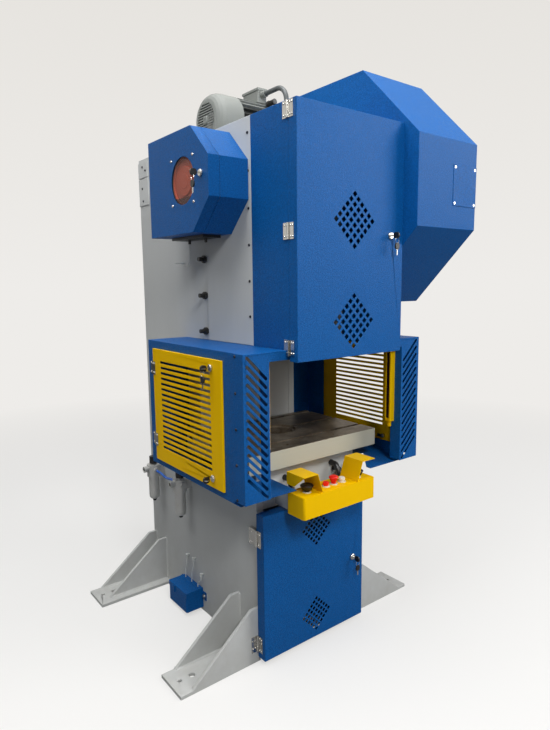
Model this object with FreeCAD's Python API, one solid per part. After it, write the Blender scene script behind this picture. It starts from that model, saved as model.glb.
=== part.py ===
import FreeCAD, Part
import math
import os

# A C-frame eccentric stamping press.  Millimetres.
# X runs to the operator's right, Y from the front to the back, Z up from the floor.
# Depths are measured from the front edge of the side plates; origin_depth, the middle of
# the foundation bolts, is taken off when a piece is written, so the origin is there.

V = FreeCAD.Vector

# ---- driving dimensions -------------------------------------------------------------
frame_width = 600.0            # outside of one side plate to outside of the other
frame_depth = 1050.0
frame_height = 2370.0
side_plate = 38.0              # thickness of a side plate
cross_plate = 24.0             # rear and top plates
throat_depth = 460.0
bed_height = 903.0             # underside of the bolster
throat_top = 1442.0
throat_radius = 45.0
bed_plate = 50.0
apron_plate = 20.0
apron_bottom = 706.0

bolster_width = 766.0
bolster_thickness = 83.0
bolster_front = -70.0
bolster_back_gap = 6.0
slug_hole_radius = 75.0
slug_ring_radius = 90.0
slug_ring_depth = 12.0
t_slot_mouth = 22.0
t_slot_width = 38.0
t_slot_lip = 18.0
t_slot_foot = 16.0
t_slot_pitch = 190.0
tapped_hole_radius = 7.0

crank_depth = 225.0            # crank axis, slide axis and bolster hole, from the front
crank_drop = 242.0             # crank axis below the top of the frame
throw = 50.0                   # half the stroke
journal_radius = 60.0
crankpin_radius = 80.0
crankpin_length = 120.0
web_thickness = 44.0
web_radius = 98.0
drive_end_radius = 55.0
cam_end_radius = 28.0
running_fit = 0.05             # radial clearance of a shaft in its bore
seat_gap = 0.3                 # clearance of pieces that slide or lie in a pocket
bush_wall = 20.0
bush_flange = 12.0
big_end_radius = 116.0
ball_radius = 46.0
screw_radius = 30.0
shank_radius = 50.0

slide_width = 300.0
slide_depth = 260.0
slide_bottom = 1400.0          # at top dead centre
slide_headroom = 170.0         # slide below the crank webs
ball_rise = 200.0              # ball above the slide's face
ram_plate_thickness = 40.0
ram_plate_width = 400.0
ram_plate_depth = 300.0
ram_shank_radius = 20.0
ram_shank_depth = 75.0
wing_width = 430.0
wing_thickness = 40.0
gib_lip = 40.0
gib_reach = 92.0
gib_rise = 60.0                # gibs above the slide's face
gib_screw_radius = 10.0
gib_screw_count = 3
gib_screw_inset = 23.0

flywheel_radius = 430.0
flywheel_width = 110.0
flywheel_offset = 45.0         # side plate to flywheel
rim_thickness = 80.0
flywheel_web = 30.0
flywheel_hub_radius = 95.0
web_hole_count = 6
web_hole_radius = 58.0
web_hole_circle = 225.0
belt_count = 4
belt_pitch = 22.0
belt_top = 17.0
belt_height = 11.0
belt_fit = 0.5                 # a belt's clearance in its groove
groove_root = 4.0              # half the width of a groove's floor
clutch_radius = 190.0
clutch_length = 130.0
clutch_gap = 14.0

motor_depth = 610.0            # motor axis, from the front
motor_seat = 10.0              # slide rails under the motor feet
motor_shaft_height = 132.0     # above the rails
motor_cowl_radius = 131.0
motor_core_radius = 112.0
motor_fin_radius = 130.0
motor_fin_count = 28
motor_fin_thickness = 5.0
motor_face = 296.0             # drive end of the motor body
motor_cowl_left = -134.0
motor_cowl_right = 10.0
motor_shoulder = 62.0          # length of the cowl's rounded end
motor_grille_radius = 84.0
motor_grille_slots = 13
motor_grille_slot = 6.0
motor_grille_hub = 24.0
motor_shield = 24.0            # thickness of the end shield
motor_foot_places = (58.0, 236.0)
motor_foot_width = 40.0
motor_rail_width = 44.0
motor_shaft_radius = 19.0
pulley_radius = 75.0
cable_radius = 12.0
cable_gland_radius = 17.0
cable_gland_length = 32.0
cable_landing = 345.0          # where the conduit meets the top plate, from the front
terminal_box_length = 58.0
terminal_box_depth = 135.0
terminal_box_top = 190.0       # above the motor axis
terminal_box_left = 140.0
terminal_box_lid = 14.0
terminal_gland_drop = 35.0

sheet = 2.5
housing_front = -240.0
door_depth = 48.5
door_gap = 0.5
upper_door_bottom = 1399.0
housing_lip = 22.0
vent_rows = 6
upper_vent_pitch = 0.0299      # pitch of the holes, as a share of the door's height
upper_vent_hole = 0.62         # side of a hole, as a share of the pitch
upper_vent_places = (0.568, 0.150)
lower_vent_pitch = 22.0
lower_vent_hole = 14.0
lower_vent_heights = (574.0, 142.0)
lower_door_front = -70.0
lower_door_back = -17.5
keeper_width = 19.0
lower_door_left = -314.0
lower_door_right = 302.0
lower_door_bottom = 25.0

cover_width = 418.0            # flywheel cover, from the side plate outwards
cover_front = -366.0
cover_back = 1024.0
cover_rise = 522.0             # the cover's top above the crank axis
cover_drop = 524.0
cover_slope = 324.0            # how far a slanted corner reaches along Y
cover_nose_rise = 192.0
cover_nose_drop = 190.0
cover_wall = 3.0
cover_crank_hole = 150.0
cover_motor_hole = 90.0
access_panel_width = 174.0
access_panel_height = 180.0
access_panel_thickness = 2.0

cam_box_depth = 190.0          # from the side plate outwards
cam_lid_depth = 53.0
cam_box_front = 18.0
cam_box_back = 533.0
cam_box_rise = 206.0           # top of the box above the crank axis
cam_box_drop = 214.0
cam_box_slope = 132.0
cam_nose_rise = 74.0
cam_nose_drop = 84.0
cam_lid_gap = 1.5
window_radius = 96.0
window_sheet = 4.0
window_size = 210.0
cam_radius = 62.0
cam_count = 4
cam_thickness = 12.0
cam_spacing = 18.0
cam_first = 22.0               # side plate to the first cam
cam_dial_radius = 91.0
cam_dial_step = 62.0           # radius of the dial's raised middle
cam_dial_thickness = 7.0
cam_dial_rise = 5.0
cam_dial_gap = 10.0            # the lid's outer face to the dial
switch_rail_length = 140.0
switch_rail_thickness = 12.0
switch_block_length = 120.0
switch_block_depth = 54.0
switch_roller_radius = 8.0
gland_strip_width = 90.0
gland_strip_thickness = 12.0
gland_strip_ends = (200.0, 480.0)
cam_gland_across = 12.0
cam_gland_length = 18.0
cam_gland_depths = (251.0, 395.0)

guard_side = 510.0             # outer face of a guard's side panel, from the middle
guard_front = -225.0
guard_back = 575.0
guard_top = 1442.0
guard_bottom = 840.0
guard_inner = 388.0            # inner edge of the slotted front panel
guard_panel_bottom = 854.0
guard_bar_bottom = 1404.0
guard_bar_inner = 280.0
guard_return = 60.0
guard_lap = 75.0
guard_shelf_inner = 224.0
guard_shelf_front = -190.0
guard_shelf_cut_depth = 45.0
guard_shelf_cut_side = 417.0
front_slot_count = 15
front_slot_pitch = 33.9
front_slot_start = 493.0
front_slot_top = 1428.0
front_slot_run = 88.0
front_slot_width = 12.0
window_front = -62.0
window_back = 441.0
window_low = 890.0
window_high = 1388.0
guard_door_front = -85.0
guard_door_back = 512.5
guard_door_low = 870.0
guard_door_high = 1406.0
guard_door_depth = 9.5
door_slot_count = 17
door_slot_height = 11.0
door_slot_front = 0.0
door_slot_backs = (438.0, 346.0)      # of the left and of the right door
door_slot_lows = (945.0, 972.0)
door_slot_pitches = (25.1, 23.1)
curtain_section = 30.0
curtain_bottom = 1043.0
curtain_top = 1390.0
curtain_front = -186.0

console_width = 430.0
console_front = -225.0
console_back = -110.0
console_top = 811.0
console_bottom = 714.0
console_corner = 10.0
shroud_height = 90.0
shroud_top_width = 80.0
shroud_foot = 105.0
shroud_wall_top = 134.0
shroud_flap = 55.0
shroud_flap_foot = 50.0        # the flap's length at its lower edge
palm_place = 153.0
palm_depth = -171.0
palm_radius = 30.0
palm_height = 38.0
palm_stem = 11.0
mushroom_taper = 8.0           # the head is narrower at its foot
palm_travel = 8.0
estop_place = 5.0
estop_radius = 22.0
estop_height = 40.0
lamp_radius = 14.0
lamp_stem = 11.0
lamp_height = 11.0
lamp_travel = 5.0
red_place = -42.0
white_place = 56.0
bezel_radius = 19.0
bezel_height = 4.0
bracket_place = 184.0
bracket_thickness = 12.0
bracket_height = 80.0
conduit_radius = 13.0
conduit_gland_radius = 14.2
conduit_beds = ((-138.0, 828.0), (169.5, 811.0), (148.0, 840.0))      # X and Z at the bed
conduit_boxes = ((-150.0, 770.0), (169.5, 754.0), (148.0, 784.0))    # and at the console
gland_height = 10.0
screw_access_radius = 22.0     # holes in the flywheel cover round the gib screws

foot_reach = 710.0
foot_plate = 16.0
foot_gusset = 16.0
foot_gusset_height = 260.0
foot_gusset_foot = 651.0
foot_gusset_top = 349.0
front_foot = (-17.0, 160.0)
front_foot_gussets = (-17.0, 144.0)
rear_foot = (850.0, 1028.0)
rear_foot_gussets = (890.0, 1012.0)
anchor_place = 606.0
anchor_radius = 14.0
levelling_place = 666.0
levelling_radius = 10.0
front_anchor_depth = 75.0
rear_anchor_depth = 950.0

air_unit_out = 62.0            # from the side plate to the units' axis
air_unit_depths = (893.0, 588.0)
air_head_radius = 36.0
air_port_height = 682.0
air_head_drop = 37.0           # head below and above the port
air_head_rise = 30.0
air_bowl_radius = 28.5
air_bowl_drop = 166.0
air_gauge_radius = 16.5
air_gauge_reach = 58.0         # the gauge's face, from the unit's axis
air_gauge_rise = 8.0
air_knob_radius = 21.0
air_knob_height = 40.0
air_hose_radius = 6.5
air_hose_lead = 44.0
air_hose_sag = 12.0

tank_front = 490.0
tank_back = 680.0
tank_out = 100.0
tank_bottom = 22.0
tank_top = 100.0
tank_lid_top = 127.0
tank_manifold = 26.0
tank_bead_radius = 3.0         # the lid's hinge bead
oil_line_radius = 3.0
oil_fitting_places = ((630.0, 260.0), (561.0, 266.0), (484.0, 208.0))
oil_outlet_depths = (650.0, 585.0, 520.0)
capillary_radius = 1.6
capillary_fitting = (572.0, 324.0)    # depth, and how far below the crank axis
capillary_sag = 26.0

knuckle_radius = 5.0
pin_radius = 2.5
hinge_height = 62.0
lug_thickness = 4.0
lug_width = 112.0
lug_high = (98.0, 18.0)        # below the top of the frame
lug_low = (243.0, 102.0)
leaf = 2.5
leaf_width = 31.0

barrel_radius = 11.0
barrel_head_radius = 15.0
barrel_head = 9.0
rotor_radius = 6.0
tongue_width = 14.0
tongue_thickness = 3.0
upper_tongue = 73.0            # from the end to past the turning axis
tongue_room = 1.0              # a tongue clears the back of its panel
upper_tongue_room = 3.0        # more, for the weld in the housing's corner
lower_tongue = 36.0
cam_tongue = 54.0
guard_tongue = 38.0
key_blade = 16.0
key_head_radius = 12.0
key_head_thickness = 5.0

# ---- places that follow from them -----------------------------------------------------
half = frame_width / 2
inner = half - side_plate
origin_depth = (front_anchor_depth + rear_anchor_depth) / 2
bolster_top = bed_height + bolster_thickness
crank_height = frame_height - crank_drop
crankpin_height = crank_height + throw
ball_height = slide_bottom + ball_rise
slide_height = crank_height - web_radius - slide_headroom - slide_bottom
gib_bottom = slide_bottom + gib_rise
gib_length = slide_height + wing_thickness
gib_screw_pitch = gib_length / gib_screw_count
flywheel_left = half + flywheel_offset
motor_height = frame_height + motor_seat + motor_shaft_height
cam_seam = -half - cam_box_depth + cam_lid_depth
cam_face = -half - cam_box_depth
wing_front = crank_depth + slide_depth / 2
gib_middle = wing_front + wing_thickness / 2
housing_top = frame_height
upper_door_height = housing_top - upper_door_bottom
cover_top = crank_height + cover_rise
cover_bottom = crank_height - cover_drop
cam_box_top = crank_height + cam_box_rise
cam_box_bottom = crank_height - cam_box_drop
upper_door_front = housing_front - door_gap - door_depth
air_axis = -half - air_unit_out
air_head_bottom = air_port_height - air_head_drop
air_head_top = air_port_height + air_head_rise
air_bowl_bottom = air_port_height - air_bowl_drop


# ---- small helpers --------------------------------------------------------------------
def box(x, y, z):
    """A block between pairs of coordinates along X, Y and Z."""
    return Part.makeBox(x[1] - x[0], y[1] - y[0], z[1] - z[0], V(x[0], y[0], z[0]))


def cylinder(radius, base, length, direction=V(0, 0, 1)):
    return Part.makeCylinder(radius, length, base, direction)


def fuse(shapes):
    """One solid from several that touch."""
    first = shapes[0]
    if len(shapes) > 1:
        first = first.multiFuse(shapes[1:])
    return first.removeSplitter()


def outline(points):
    return Part.Face(Part.makePolygon(points + [points[0]]))


def prism_x(points, x):
    """A Y-Z outline drawn out along X."""
    return outline([V(x[0], y, z) for y, z in points]).extrude(V(x[1] - x[0], 0, 0))


def prism_y(points, y):
    """An X-Z outline drawn out along Y."""
    return outline([V(px, y[0], z) for px, z in points]).extrude(V(0, y[1] - y[0], 0))


def prism_z(points, z):
    """An X-Y outline drawn out along Z."""
    return outline([V(px, y, z[0]) for px, y in points]).extrude(V(0, 0, z[1] - z[0]))


def turned(profile, centre, direction):
    """A solid of revolution.  The profile lists (radius, distance along the axis)."""
    face = outline([V(radius, 0, along) for radius, along in profile])
    solid = face.revolve(V(0, 0, 0), V(0, 0, 1), 360)
    solid.Placement = FreeCAD.Placement(centre, FreeCAD.Rotation(V(0, 0, 1), direction))
    return solid


def hexagon(across, base, length, direction):
    """A hexagonal prism, such as a nut."""
    corners = [V(across / math.sqrt(3) * math.cos(math.radians(60 * k)),
                 across / math.sqrt(3) * math.sin(math.radians(60 * k)), 0) for k in range(6)]
    nut = outline(corners).extrude(V(0, 0, length))
    nut.Placement = FreeCAD.Placement(base, FreeCAD.Rotation(V(0, 0, 1), direction))
    return nut


def mirrored(shape):
    """The same piece on the other side of the press."""
    return shape.mirror(V(0, 0, 0), V(1, 0, 0))


def tube(points, radius):
    """A round tube of straight runs joined by tangent arcs, as large as its runs allow."""
    edges = []
    radii = []
    start = points[0]
    for before, corner, after in zip(points, points[1:], points[2:]):
        into = (corner - before).normalize()
        out = (after - corner).normalize()
        turn = into.getAngle(out)
        shorter = min((corner - before).Length, (after - corner).Length)
        bend = 0.45 * shorter / math.tan(turn / 2)
        radii.append(bend)
        setback = bend * math.tan(turn / 2)
        first = corner - into * setback
        last = corner + out * setback
        inward = (out - into).normalize()
        middle = corner + inward * (bend / math.cos(turn / 2) - bend)
        edges.append(Part.LineSegment(start, first).toShape())
        edges.append(Part.Arc(first, middle, last).toShape())
        start = last
    edges.append(Part.LineSegment(start, points[-1]).toShape())
    path = Part.Wire(edges)
    along = (points[1] - points[0]).normalize()
    section = Part.Wire(Part.Circle(points[0], along, radius).toShape())
    swept = path.makePipeShell([section], True, False)
    exact = math.pi * radius ** 2 * path.Length
    print("tube radii", [round(r, 1) for r in radii], "volume ratio", round(swept.Volume / exact, 4))
    return swept


def slot_prism(start, end, width, depth_y):
    """A slot with round ends between two X-Z points, drawn out along Y."""
    run = V(end[0] - start[0], 0, end[1] - start[1])
    side = V(-run.z, 0, run.x).normalize() * (width / 2)
    tip = V(run.x, 0, run.z).normalize() * (width / 2)
    a = V(start[0], depth_y[0], start[1])
    b = V(end[0], depth_y[0], end[1])
    wire = Part.Wire([
        Part.LineSegment(a + side, b + side).toShape(),
        Part.Arc(b + side, b + tip, b - side).toShape(),
        Part.LineSegment(b - side, a - side).toShape(),
        Part.Arc(a - side, a - tip, a + side).toShape()])
    return Part.Face(wire).extrude(V(0, depth_y[1] - depth_y[0], 0))


def hinge(pin, middle, fixed_leaf, moving_leaf, height=hinge_height):
    """A butt hinge on a vertical pin.  Each leaf lists blocks ((x0, x1), (y0, y1)).
    Returns the fixed leaf with its pin, and the moving leaf."""
    low = middle - height / 2
    third = height / 3
    spans = ((low, low + third), (low + third, low + 2 * third), (low + 2 * third, low + height))

    def knuckle(span, radius, grow):
        base = V(pin[0], pin[1], span[0] - grow)
        return cylinder(radius, base, span[1] - span[0] + 2 * grow)

    clear = knuckle_radius + 0.5
    fixed = fuse([box(x, y, (low, low + height)) for x, y in fixed_leaf])
    fixed = fixed.cut(knuckle(spans[1], clear, 0.25))
    fixed = fuse([fixed, knuckle(spans[0], knuckle_radius, 0), knuckle(spans[2], knuckle_radius, 0)])
    fixed = fuse([fixed, cylinder(pin_radius, V(pin[0], pin[1], low), height)])
    moving = fuse([box(x, y, (low, low + height)) for x, y in moving_leaf])
    moving = moving.cut(knuckle(spans[0], clear, 0.25)).cut(knuckle(spans[2], clear, 0.25))
    moving = fuse([moving, knuckle(spans[1], knuckle_radius, -0.25)])
    moving = moving.cut(cylinder(pin_radius + running_fit, V(pin[0], pin[1], low - 1), height + 2))
    return fixed, moving


def lock_barrel(place, outward, reach):
    """The barrel of a quarter-turn lock: a flanged tube that reaches back through its panel."""
    stem = cylinder(barrel_radius, place - outward * reach, reach, outward)
    head = turned([(0, 0), (barrel_head_radius, 0), (barrel_head_radius, barrel_head - 3),
                   (barrel_head_radius - 3, barrel_head), (0, barrel_head)], place, outward)
    body = fuse([stem, head])
    return body.cut(cylinder(rotor_radius + running_fit, place - outward * (reach + 1),
                             reach + barrel_head + 2, outward))


def lock_key(place, outward, reach, tongue_length, points_to):
    """The turning core with its key, and the tongue behind the panel."""
    back = place - outward * (reach + tongue_thickness)
    face = place + outward * barrel_head
    length = reach + tongue_thickness + barrel_head
    core = cylinder(rotor_radius, back, length, outward)
    across = outward.cross(points_to)
    blade = plate_between(face, outward * key_blade, points_to * 7, across * 2.2)
    middle = face + outward * (key_blade + key_head_radius - 2) - across * (key_head_thickness / 2)
    grip = cylinder(key_head_radius, middle, key_head_thickness, across)
    back_face = place - outward * (reach + tongue_thickness)
    tongue = plate_between(back_face + points_to * (tongue_length / 2 - tongue_width / 2),
                           outward * tongue_thickness, points_to * tongue_length,
                           across * tongue_width)
    return fuse([core, blade, grip, tongue])


def plate_between(start, rise, along, across):
    """A block that stands on start along rise, centred on it in the other two directions."""
    corner = start - along / 2 - across / 2
    face = outline([corner, corner + along, corner + along + across, corner + across])
    return face.extrude(rise)


def write(node, *solids):
    """One file per node, with the origin between the foundation bolts."""
    shape = solids[0] if len(solids) == 1 else Part.makeCompound(list(solids))
    shape.translate(V(0, -origin_depth, 0))
    shape.exportStep("parts/" + node + ".step")


# ---- welded frame ---------------------------------------------------------------------
def side_plate_right():
    """A C-shaped plate with the throat, the crank bore and the gib screw holes."""
    plate = box((inner, half), (0, frame_depth), (0, frame_height))
    throat = box((inner - 1, half + 1), (-1, throat_depth), (bed_height, throat_top))
    rear_edge = [edge for edge in throat.Edges
                 if edge.BoundBox.YMin > throat_depth - 1 and edge.BoundBox.ZMin > throat_top - 1]
    plate = plate.cut(throat.makeFillet(throat_radius, rear_edge))
    crank_bore = cylinder(journal_radius + bush_wall, V(inner - 1, crank_depth, crank_height),
                          side_plate + 2, V(1, 0, 0))
    plate = plate.cut(crank_bore)
    for height in gib_screw_heights():
        plate = plate.cut(cylinder(gib_screw_radius + seat_gap, V(inner - 1, gib_middle, height),
                                   side_plate + 2, V(1, 0, 0)))
    return plate


def gib_screw_heights():
    return [gib_bottom + gib_screw_inset + k * gib_screw_pitch for k in range(gib_screw_count)]


def cross_plates():
    """Rear, top, throat, bed and apron plates, the strips behind the lower door, and lugs."""
    span = (-inner, inner)
    top = box(span, (0, frame_depth), (frame_height - cross_plate, frame_height))
    rear = box(span, (frame_depth - cross_plate, frame_depth), (0, frame_height - cross_plate))
    throat = box(span, (throat_depth, throat_depth + apron_plate),
                 (bed_height - bed_plate, throat_top + throat_radius))
    bed = box(span, (0, throat_depth), (bed_height - bed_plate, bed_height))
    bed = bed.cut(cylinder(slug_ring_radius + 10, V(0, crank_depth, bed_height - bed_plate - 1),
                           bed_plate + 2))
    apron = box(span, (0, apron_plate), (apron_bottom, bed_height - bed_plate))
    keeper = box((inner - keeper_width, inner), (0, 6), (300, 410))
    strip = box((inner + 8, half), (front_foot[0], 0), (foot_plate, apron_bottom))
    lugs = [box((-half - lug_thickness, -half), (frame_depth - lug_width, frame_depth),
                (frame_height - drops[0], frame_height - drops[1])) for drops in (lug_low, lug_high)]
    return [top, rear, throat, bed, apron, keeper, strip, mirrored(strip)] + lugs


def foot(depths, gusset_depths, anchor_depth):
    """One welded foot on the right: a holed base plate under two slanted gussets."""
    plate = box((half, foot_reach), depths, (0, foot_plate))
    for place, radius in ((anchor_place, anchor_radius), (levelling_place, levelling_radius)):
        plate = plate.cut(cylinder(radius, V(place, anchor_depth, -1), foot_plate + 2))
    slant = [(half, foot_plate), (foot_gusset_foot, foot_plate),
             (foot_gusset_top, foot_gusset_height), (half, foot_gusset_height)]
    gussets = [prism_y(slant, (start, start + foot_gusset)) for start in gusset_depths]
    return fuse([plate] + gussets)


def feet():
    front = foot(front_foot, front_foot_gussets, front_anchor_depth)
    rear = foot(rear_foot, rear_foot_gussets, rear_anchor_depth)
    return front, rear, mirrored(front), mirrored(rear)


def bolster():
    """The die table: three T-slots across it and a stepped hole for the slugs."""
    half_width = bolster_width / 2
    back = throat_depth - bolster_back_gap
    table = box((-half_width, half_width), (bolster_front, back), (bed_height, bolster_top))
    rims = [edge for edge in table.Edges if edge.BoundBox.ZMin > bolster_top - 1]
    table = table.makeChamfer(2.0, rims)
    centre = V(0, crank_depth, bed_height - 1)
    table = table.cut(cylinder(slug_hole_radius, centre, bolster_thickness + 2))
    ring = V(0, crank_depth, bolster_top - slug_ring_depth)
    table = table.cut(cylinder(slug_ring_radius, ring, slug_ring_depth + 1))
    across = (-half_width - 1, half_width + 1)
    neck = bolster_top - t_slot_lip
    for row in (-1, 0, 1):
        middle = crank_depth + row * t_slot_pitch
        mouth = (middle - t_slot_mouth / 2, middle + t_slot_mouth / 2)
        foot_width = (middle - t_slot_width / 2, middle + t_slot_width / 2)
        table = table.cut(box(across, mouth, (neck - 1, bolster_top + 1)))
        table = table.cut(box(across, foot_width, (neck - t_slot_foot, neck)))
    for side in (-1, 1):
        place = V(side * 140, bolster_front + 46, bolster_top - 30)
        table = table.cut(cylinder(tapped_hole_radius, place, 31))
    return table


# ---- slide, rod and crank --------------------------------------------------------------
def slide():
    """The ram: a hollow body, a wide foot with the tool bore, and a guided back wing."""
    low = slide_bottom
    high = slide_bottom + slide_height
    foot_top = low + ram_plate_thickness
    body = box((-slide_width / 2, slide_width / 2),
               (crank_depth - slide_depth / 2, wing_front), (foot_top, high))
    foot_plate_solid = box((-ram_plate_width / 2, ram_plate_width / 2),
                           (crank_depth - ram_plate_depth / 2, crank_depth + ram_plate_depth / 2),
                           (low, foot_top))
    wing = box((-wing_width / 2, wing_width / 2), (wing_front, wing_front + wing_thickness),
               (foot_top, high))
    ram = fuse([body, foot_plate_solid, wing])
    pocket_half = throw + shank_radius + 8
    pocket = box((-shank_radius - 12, shank_radius + 12),
                 (crank_depth - pocket_half, crank_depth + pocket_half),
                 (ball_height - ball_radius - 30, high + 1))
    ram = ram.cut(pocket)
    tool_bore = cylinder(ram_shank_radius, V(0, crank_depth, low - 1), ram_shank_depth + 1)
    return ram.cut(tool_bore)


def slide_gib():
    """The right-hand gib: a channel that holds the slide's wing."""
    wall = wing_width / 2 + seat_gap
    front = wing_front - seat_gap
    back = wing_front + wing_thickness + seat_gap
    tip = inner - gib_reach
    section = [(inner, front - gib_lip), (inner, back + gib_lip), (tip, back + gib_lip),
               (tip, back), (wall, back), (wall, front), (tip, front), (tip, front - gib_lip)]
    return prism_z(section, (gib_bottom, gib_bottom + gib_length))


def gib_screws():
    """Adjusting screws with lock nuts, through the side plates on to the gibs."""
    screws = []
    for height in gib_screw_heights():
        axis = V(1, 0, 0)
        rod = cylinder(gib_screw_radius, V(inner, gib_middle, height), side_plate + 38, axis)
        nut = hexagon(30, V(half, gib_middle, height), 16, axis)
        screw = fuse([rod, nut])
        screws += [screw, mirrored(screw)]
    return screws


def crank_web(x):
    """A crank web: two round ends and the tangent flanks between them."""
    rounds = [cylinder(web_radius, V(x[0], crank_depth, height), x[1] - x[0], V(1, 0, 0))
              for height in (crank_height, crankpin_height)]
    flank = box(x, (crank_depth - web_radius, crank_depth + web_radius),
                (crank_height, crankpin_height))
    return fuse(rounds + [flank])


def crankshaft():
    """Journals, two webs and the crankpin, at top dead centre."""
    axis = V(1, 0, 0)
    pin_half = crankpin_length / 2
    right_end = flywheel_left + flywheel_width + clutch_gap + clutch_length + 30
    cam_end = half + cam_box_depth - cam_dial_gap

    def on_axis(x):
        return V(x, crank_depth, crank_height)

    journal = cylinder(journal_radius, on_axis(-half - 4), frame_width + 8, axis)
    journal = journal.cut(box((-pin_half, pin_half), (crank_depth - 200, crank_depth + 200),
                              (crank_height - 200, crank_height + 200)))
    drive_end = cylinder(drive_end_radius, on_axis(half), right_end - half, axis)
    cam_shaft = cylinder(cam_end_radius, on_axis(-cam_end), cam_end - half, axis)
    webs = [crank_web((pin_half, pin_half + web_thickness)),
            crank_web((-pin_half - web_thickness, -pin_half))]
    pin = cylinder(crankpin_radius, V(-pin_half, crank_depth, crankpin_height),
                   crankpin_length, axis)
    return fuse([journal, drive_end, cam_shaft, pin] + webs)


def connecting_rod():
    """The rod with its split big end, and the adjusting screw with the ball."""
    centre = V(0, crank_depth, crankpin_height)
    axis = V(1, 0, 0)
    half_length = crankpin_length / 2 - 2
    eye = cylinder(big_end_radius, centre - axis * half_length, 2 * half_length, axis)
    ear = box((-half_length, half_length), (crank_depth - 128, crank_depth + 128),
              (crankpin_height - 24, crankpin_height + 24))
    shank_top = crankpin_height - big_end_radius + 20
    shank_bottom = ball_height + 130
    shank = turned([(0, 0), (shank_radius, 0), (shank_radius, 60),
                    (shank_radius + 6, shank_top - shank_bottom), (0, shank_top - shank_bottom)],
                   V(0, crank_depth, shank_bottom), V(0, 0, 1))
    body = fuse([eye, ear, shank])
    body = body.cut(cylinder(crankpin_radius + running_fit, centre - axis * (half_length + 1),
                             2 * half_length + 2, axis))
    screw = cylinder(screw_radius, V(0, crank_depth, ball_height), shank_bottom - ball_height)
    nut = hexagon(84, V(0, crank_depth, shank_bottom - 34), 34, V(0, 0, 1))
    ball = Part.makeSphere(ball_radius, V(0, crank_depth, ball_height))
    return body, fuse([screw, nut, ball])


def main_bearings():
    """Flanged bronze bushes in the two side plates."""
    length = side_plate
    outside = journal_radius + bush_wall - seat_gap
    bore = journal_radius + running_fit
    bush = turned([(bore, -bush_flange), (outside + 18, -bush_flange), (outside + 18, 0),
                   (outside, 0), (outside, length), (bore, length)],
                  V(inner, crank_depth, crank_height), V(1, 0, 0))
    return bush, mirrored(bush)


def cam_stack():
    """Switch cams on the end of the crankshaft, and the round dial behind the window."""
    axis = V(-1, 0, 0)
    solids = []
    for k in range(cam_count):
        start = V(-half - cam_first - k * cam_spacing, crank_depth, crank_height)
        disc = cylinder(cam_radius, start, cam_thickness, axis)
        notch = box((start.x - cam_thickness - 1, start.x + 1),
                    (crank_depth - 16, crank_depth + 16),
                    (crank_height + cam_radius - 8, crank_height + cam_radius + 8))
        notch.rotate(V(0, crank_depth, crank_height), V(1, 0, 0), 40 + 65 * k)
        disc = disc.cut(notch)
        solids.append(disc.cut(cylinder(cam_end_radius, start, cam_thickness, axis)))
    face = cam_dial_thickness + cam_dial_rise
    dial = turned([(cam_end_radius, 0), (cam_dial_radius, 0), (cam_dial_radius, cam_dial_thickness),
                   (cam_dial_step, cam_dial_thickness), (cam_dial_step - 4, face),
                   (cam_end_radius, face)],
                  V(cam_face + cam_dial_gap + face, crank_depth, crank_height), axis)
    return solids + [dial]


# ---- drive ------------------------------------------------------------------------------
def belt_places():
    """Middles of the belts along X."""
    middle = flywheel_left + flywheel_width / 2
    return [middle + (k - (belt_count - 1) / 2) * belt_pitch for k in range(belt_count)]


def grooved_rim(radius, inner_radius, x, centre):
    """A ring with a V-groove for each belt."""
    profile = [(inner_radius, x[0]), (radius, x[0])]
    for place in belt_places():
        profile += [(radius, place - belt_top / 2), (radius - belt_height - 2, place - groove_root),
                    (radius - belt_height - 2, place + groove_root), (radius, place + belt_top / 2)]
    profile += [(radius, x[1]), (inner_radius, x[1])]
    return turned(profile, V(0, centre[0], centre[1]), V(1, 0, 0))


def flywheel():
    """Rim, web with round openings, and hub, free on the crankshaft."""
    centre = (crank_depth, crank_height)
    span = (flywheel_left, flywheel_left + flywheel_width)
    middle = sum(span) / 2
    rim = grooved_rim(flywheel_radius, flywheel_radius - rim_thickness, span, centre)
    web = turned([(drive_end_radius + running_fit, middle - flywheel_web / 2),
                  (flywheel_radius - rim_thickness + 2, middle - flywheel_web / 2),
                  (flywheel_radius - rim_thickness + 2, middle + flywheel_web / 2),
                  (drive_end_radius + running_fit, middle + flywheel_web / 2)],
                 V(0, *centre), V(1, 0, 0))
    for k in range(web_hole_count):
        angle = 2 * math.pi * k / web_hole_count
        place = V(span[0], crank_depth + web_hole_circle * math.cos(angle),
                  crank_height + web_hole_circle * math.sin(angle))
        web = web.cut(cylinder(web_hole_radius, place, flywheel_width, V(1, 0, 0)))
    hub = turned([(drive_end_radius + running_fit, span[0] - 10), (flywheel_hub_radius, span[0] - 10),
                  (flywheel_hub_radius, span[1] + 8), (drive_end_radius + running_fit, span[1] + 8)],
                 V(0, *centre), V(1, 0, 0))
    return fuse([rim, web, hub])


def clutch():
    """The clutch drum, keyed to the end of the crankshaft, with its air joint."""
    start = flywheel_left + flywheel_width + clutch_gap
    end = start + clutch_length
    drum = turned([(drive_end_radius, start), (clutch_radius, start), (clutch_radius, start + 40),
                   (clutch_radius - 30, start + 52), (clutch_radius - 30, end - 20),
                   (110, end), (drive_end_radius, end)],
                  V(0, crank_depth, crank_height), V(1, 0, 0))
    joint = turned([(0, end + 30), (34, end + 30), (34, end + 52), (20, end + 60), (0, end + 60)],
                   V(0, crank_depth, crank_height), V(1, 0, 0))
    return drum, joint


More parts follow.
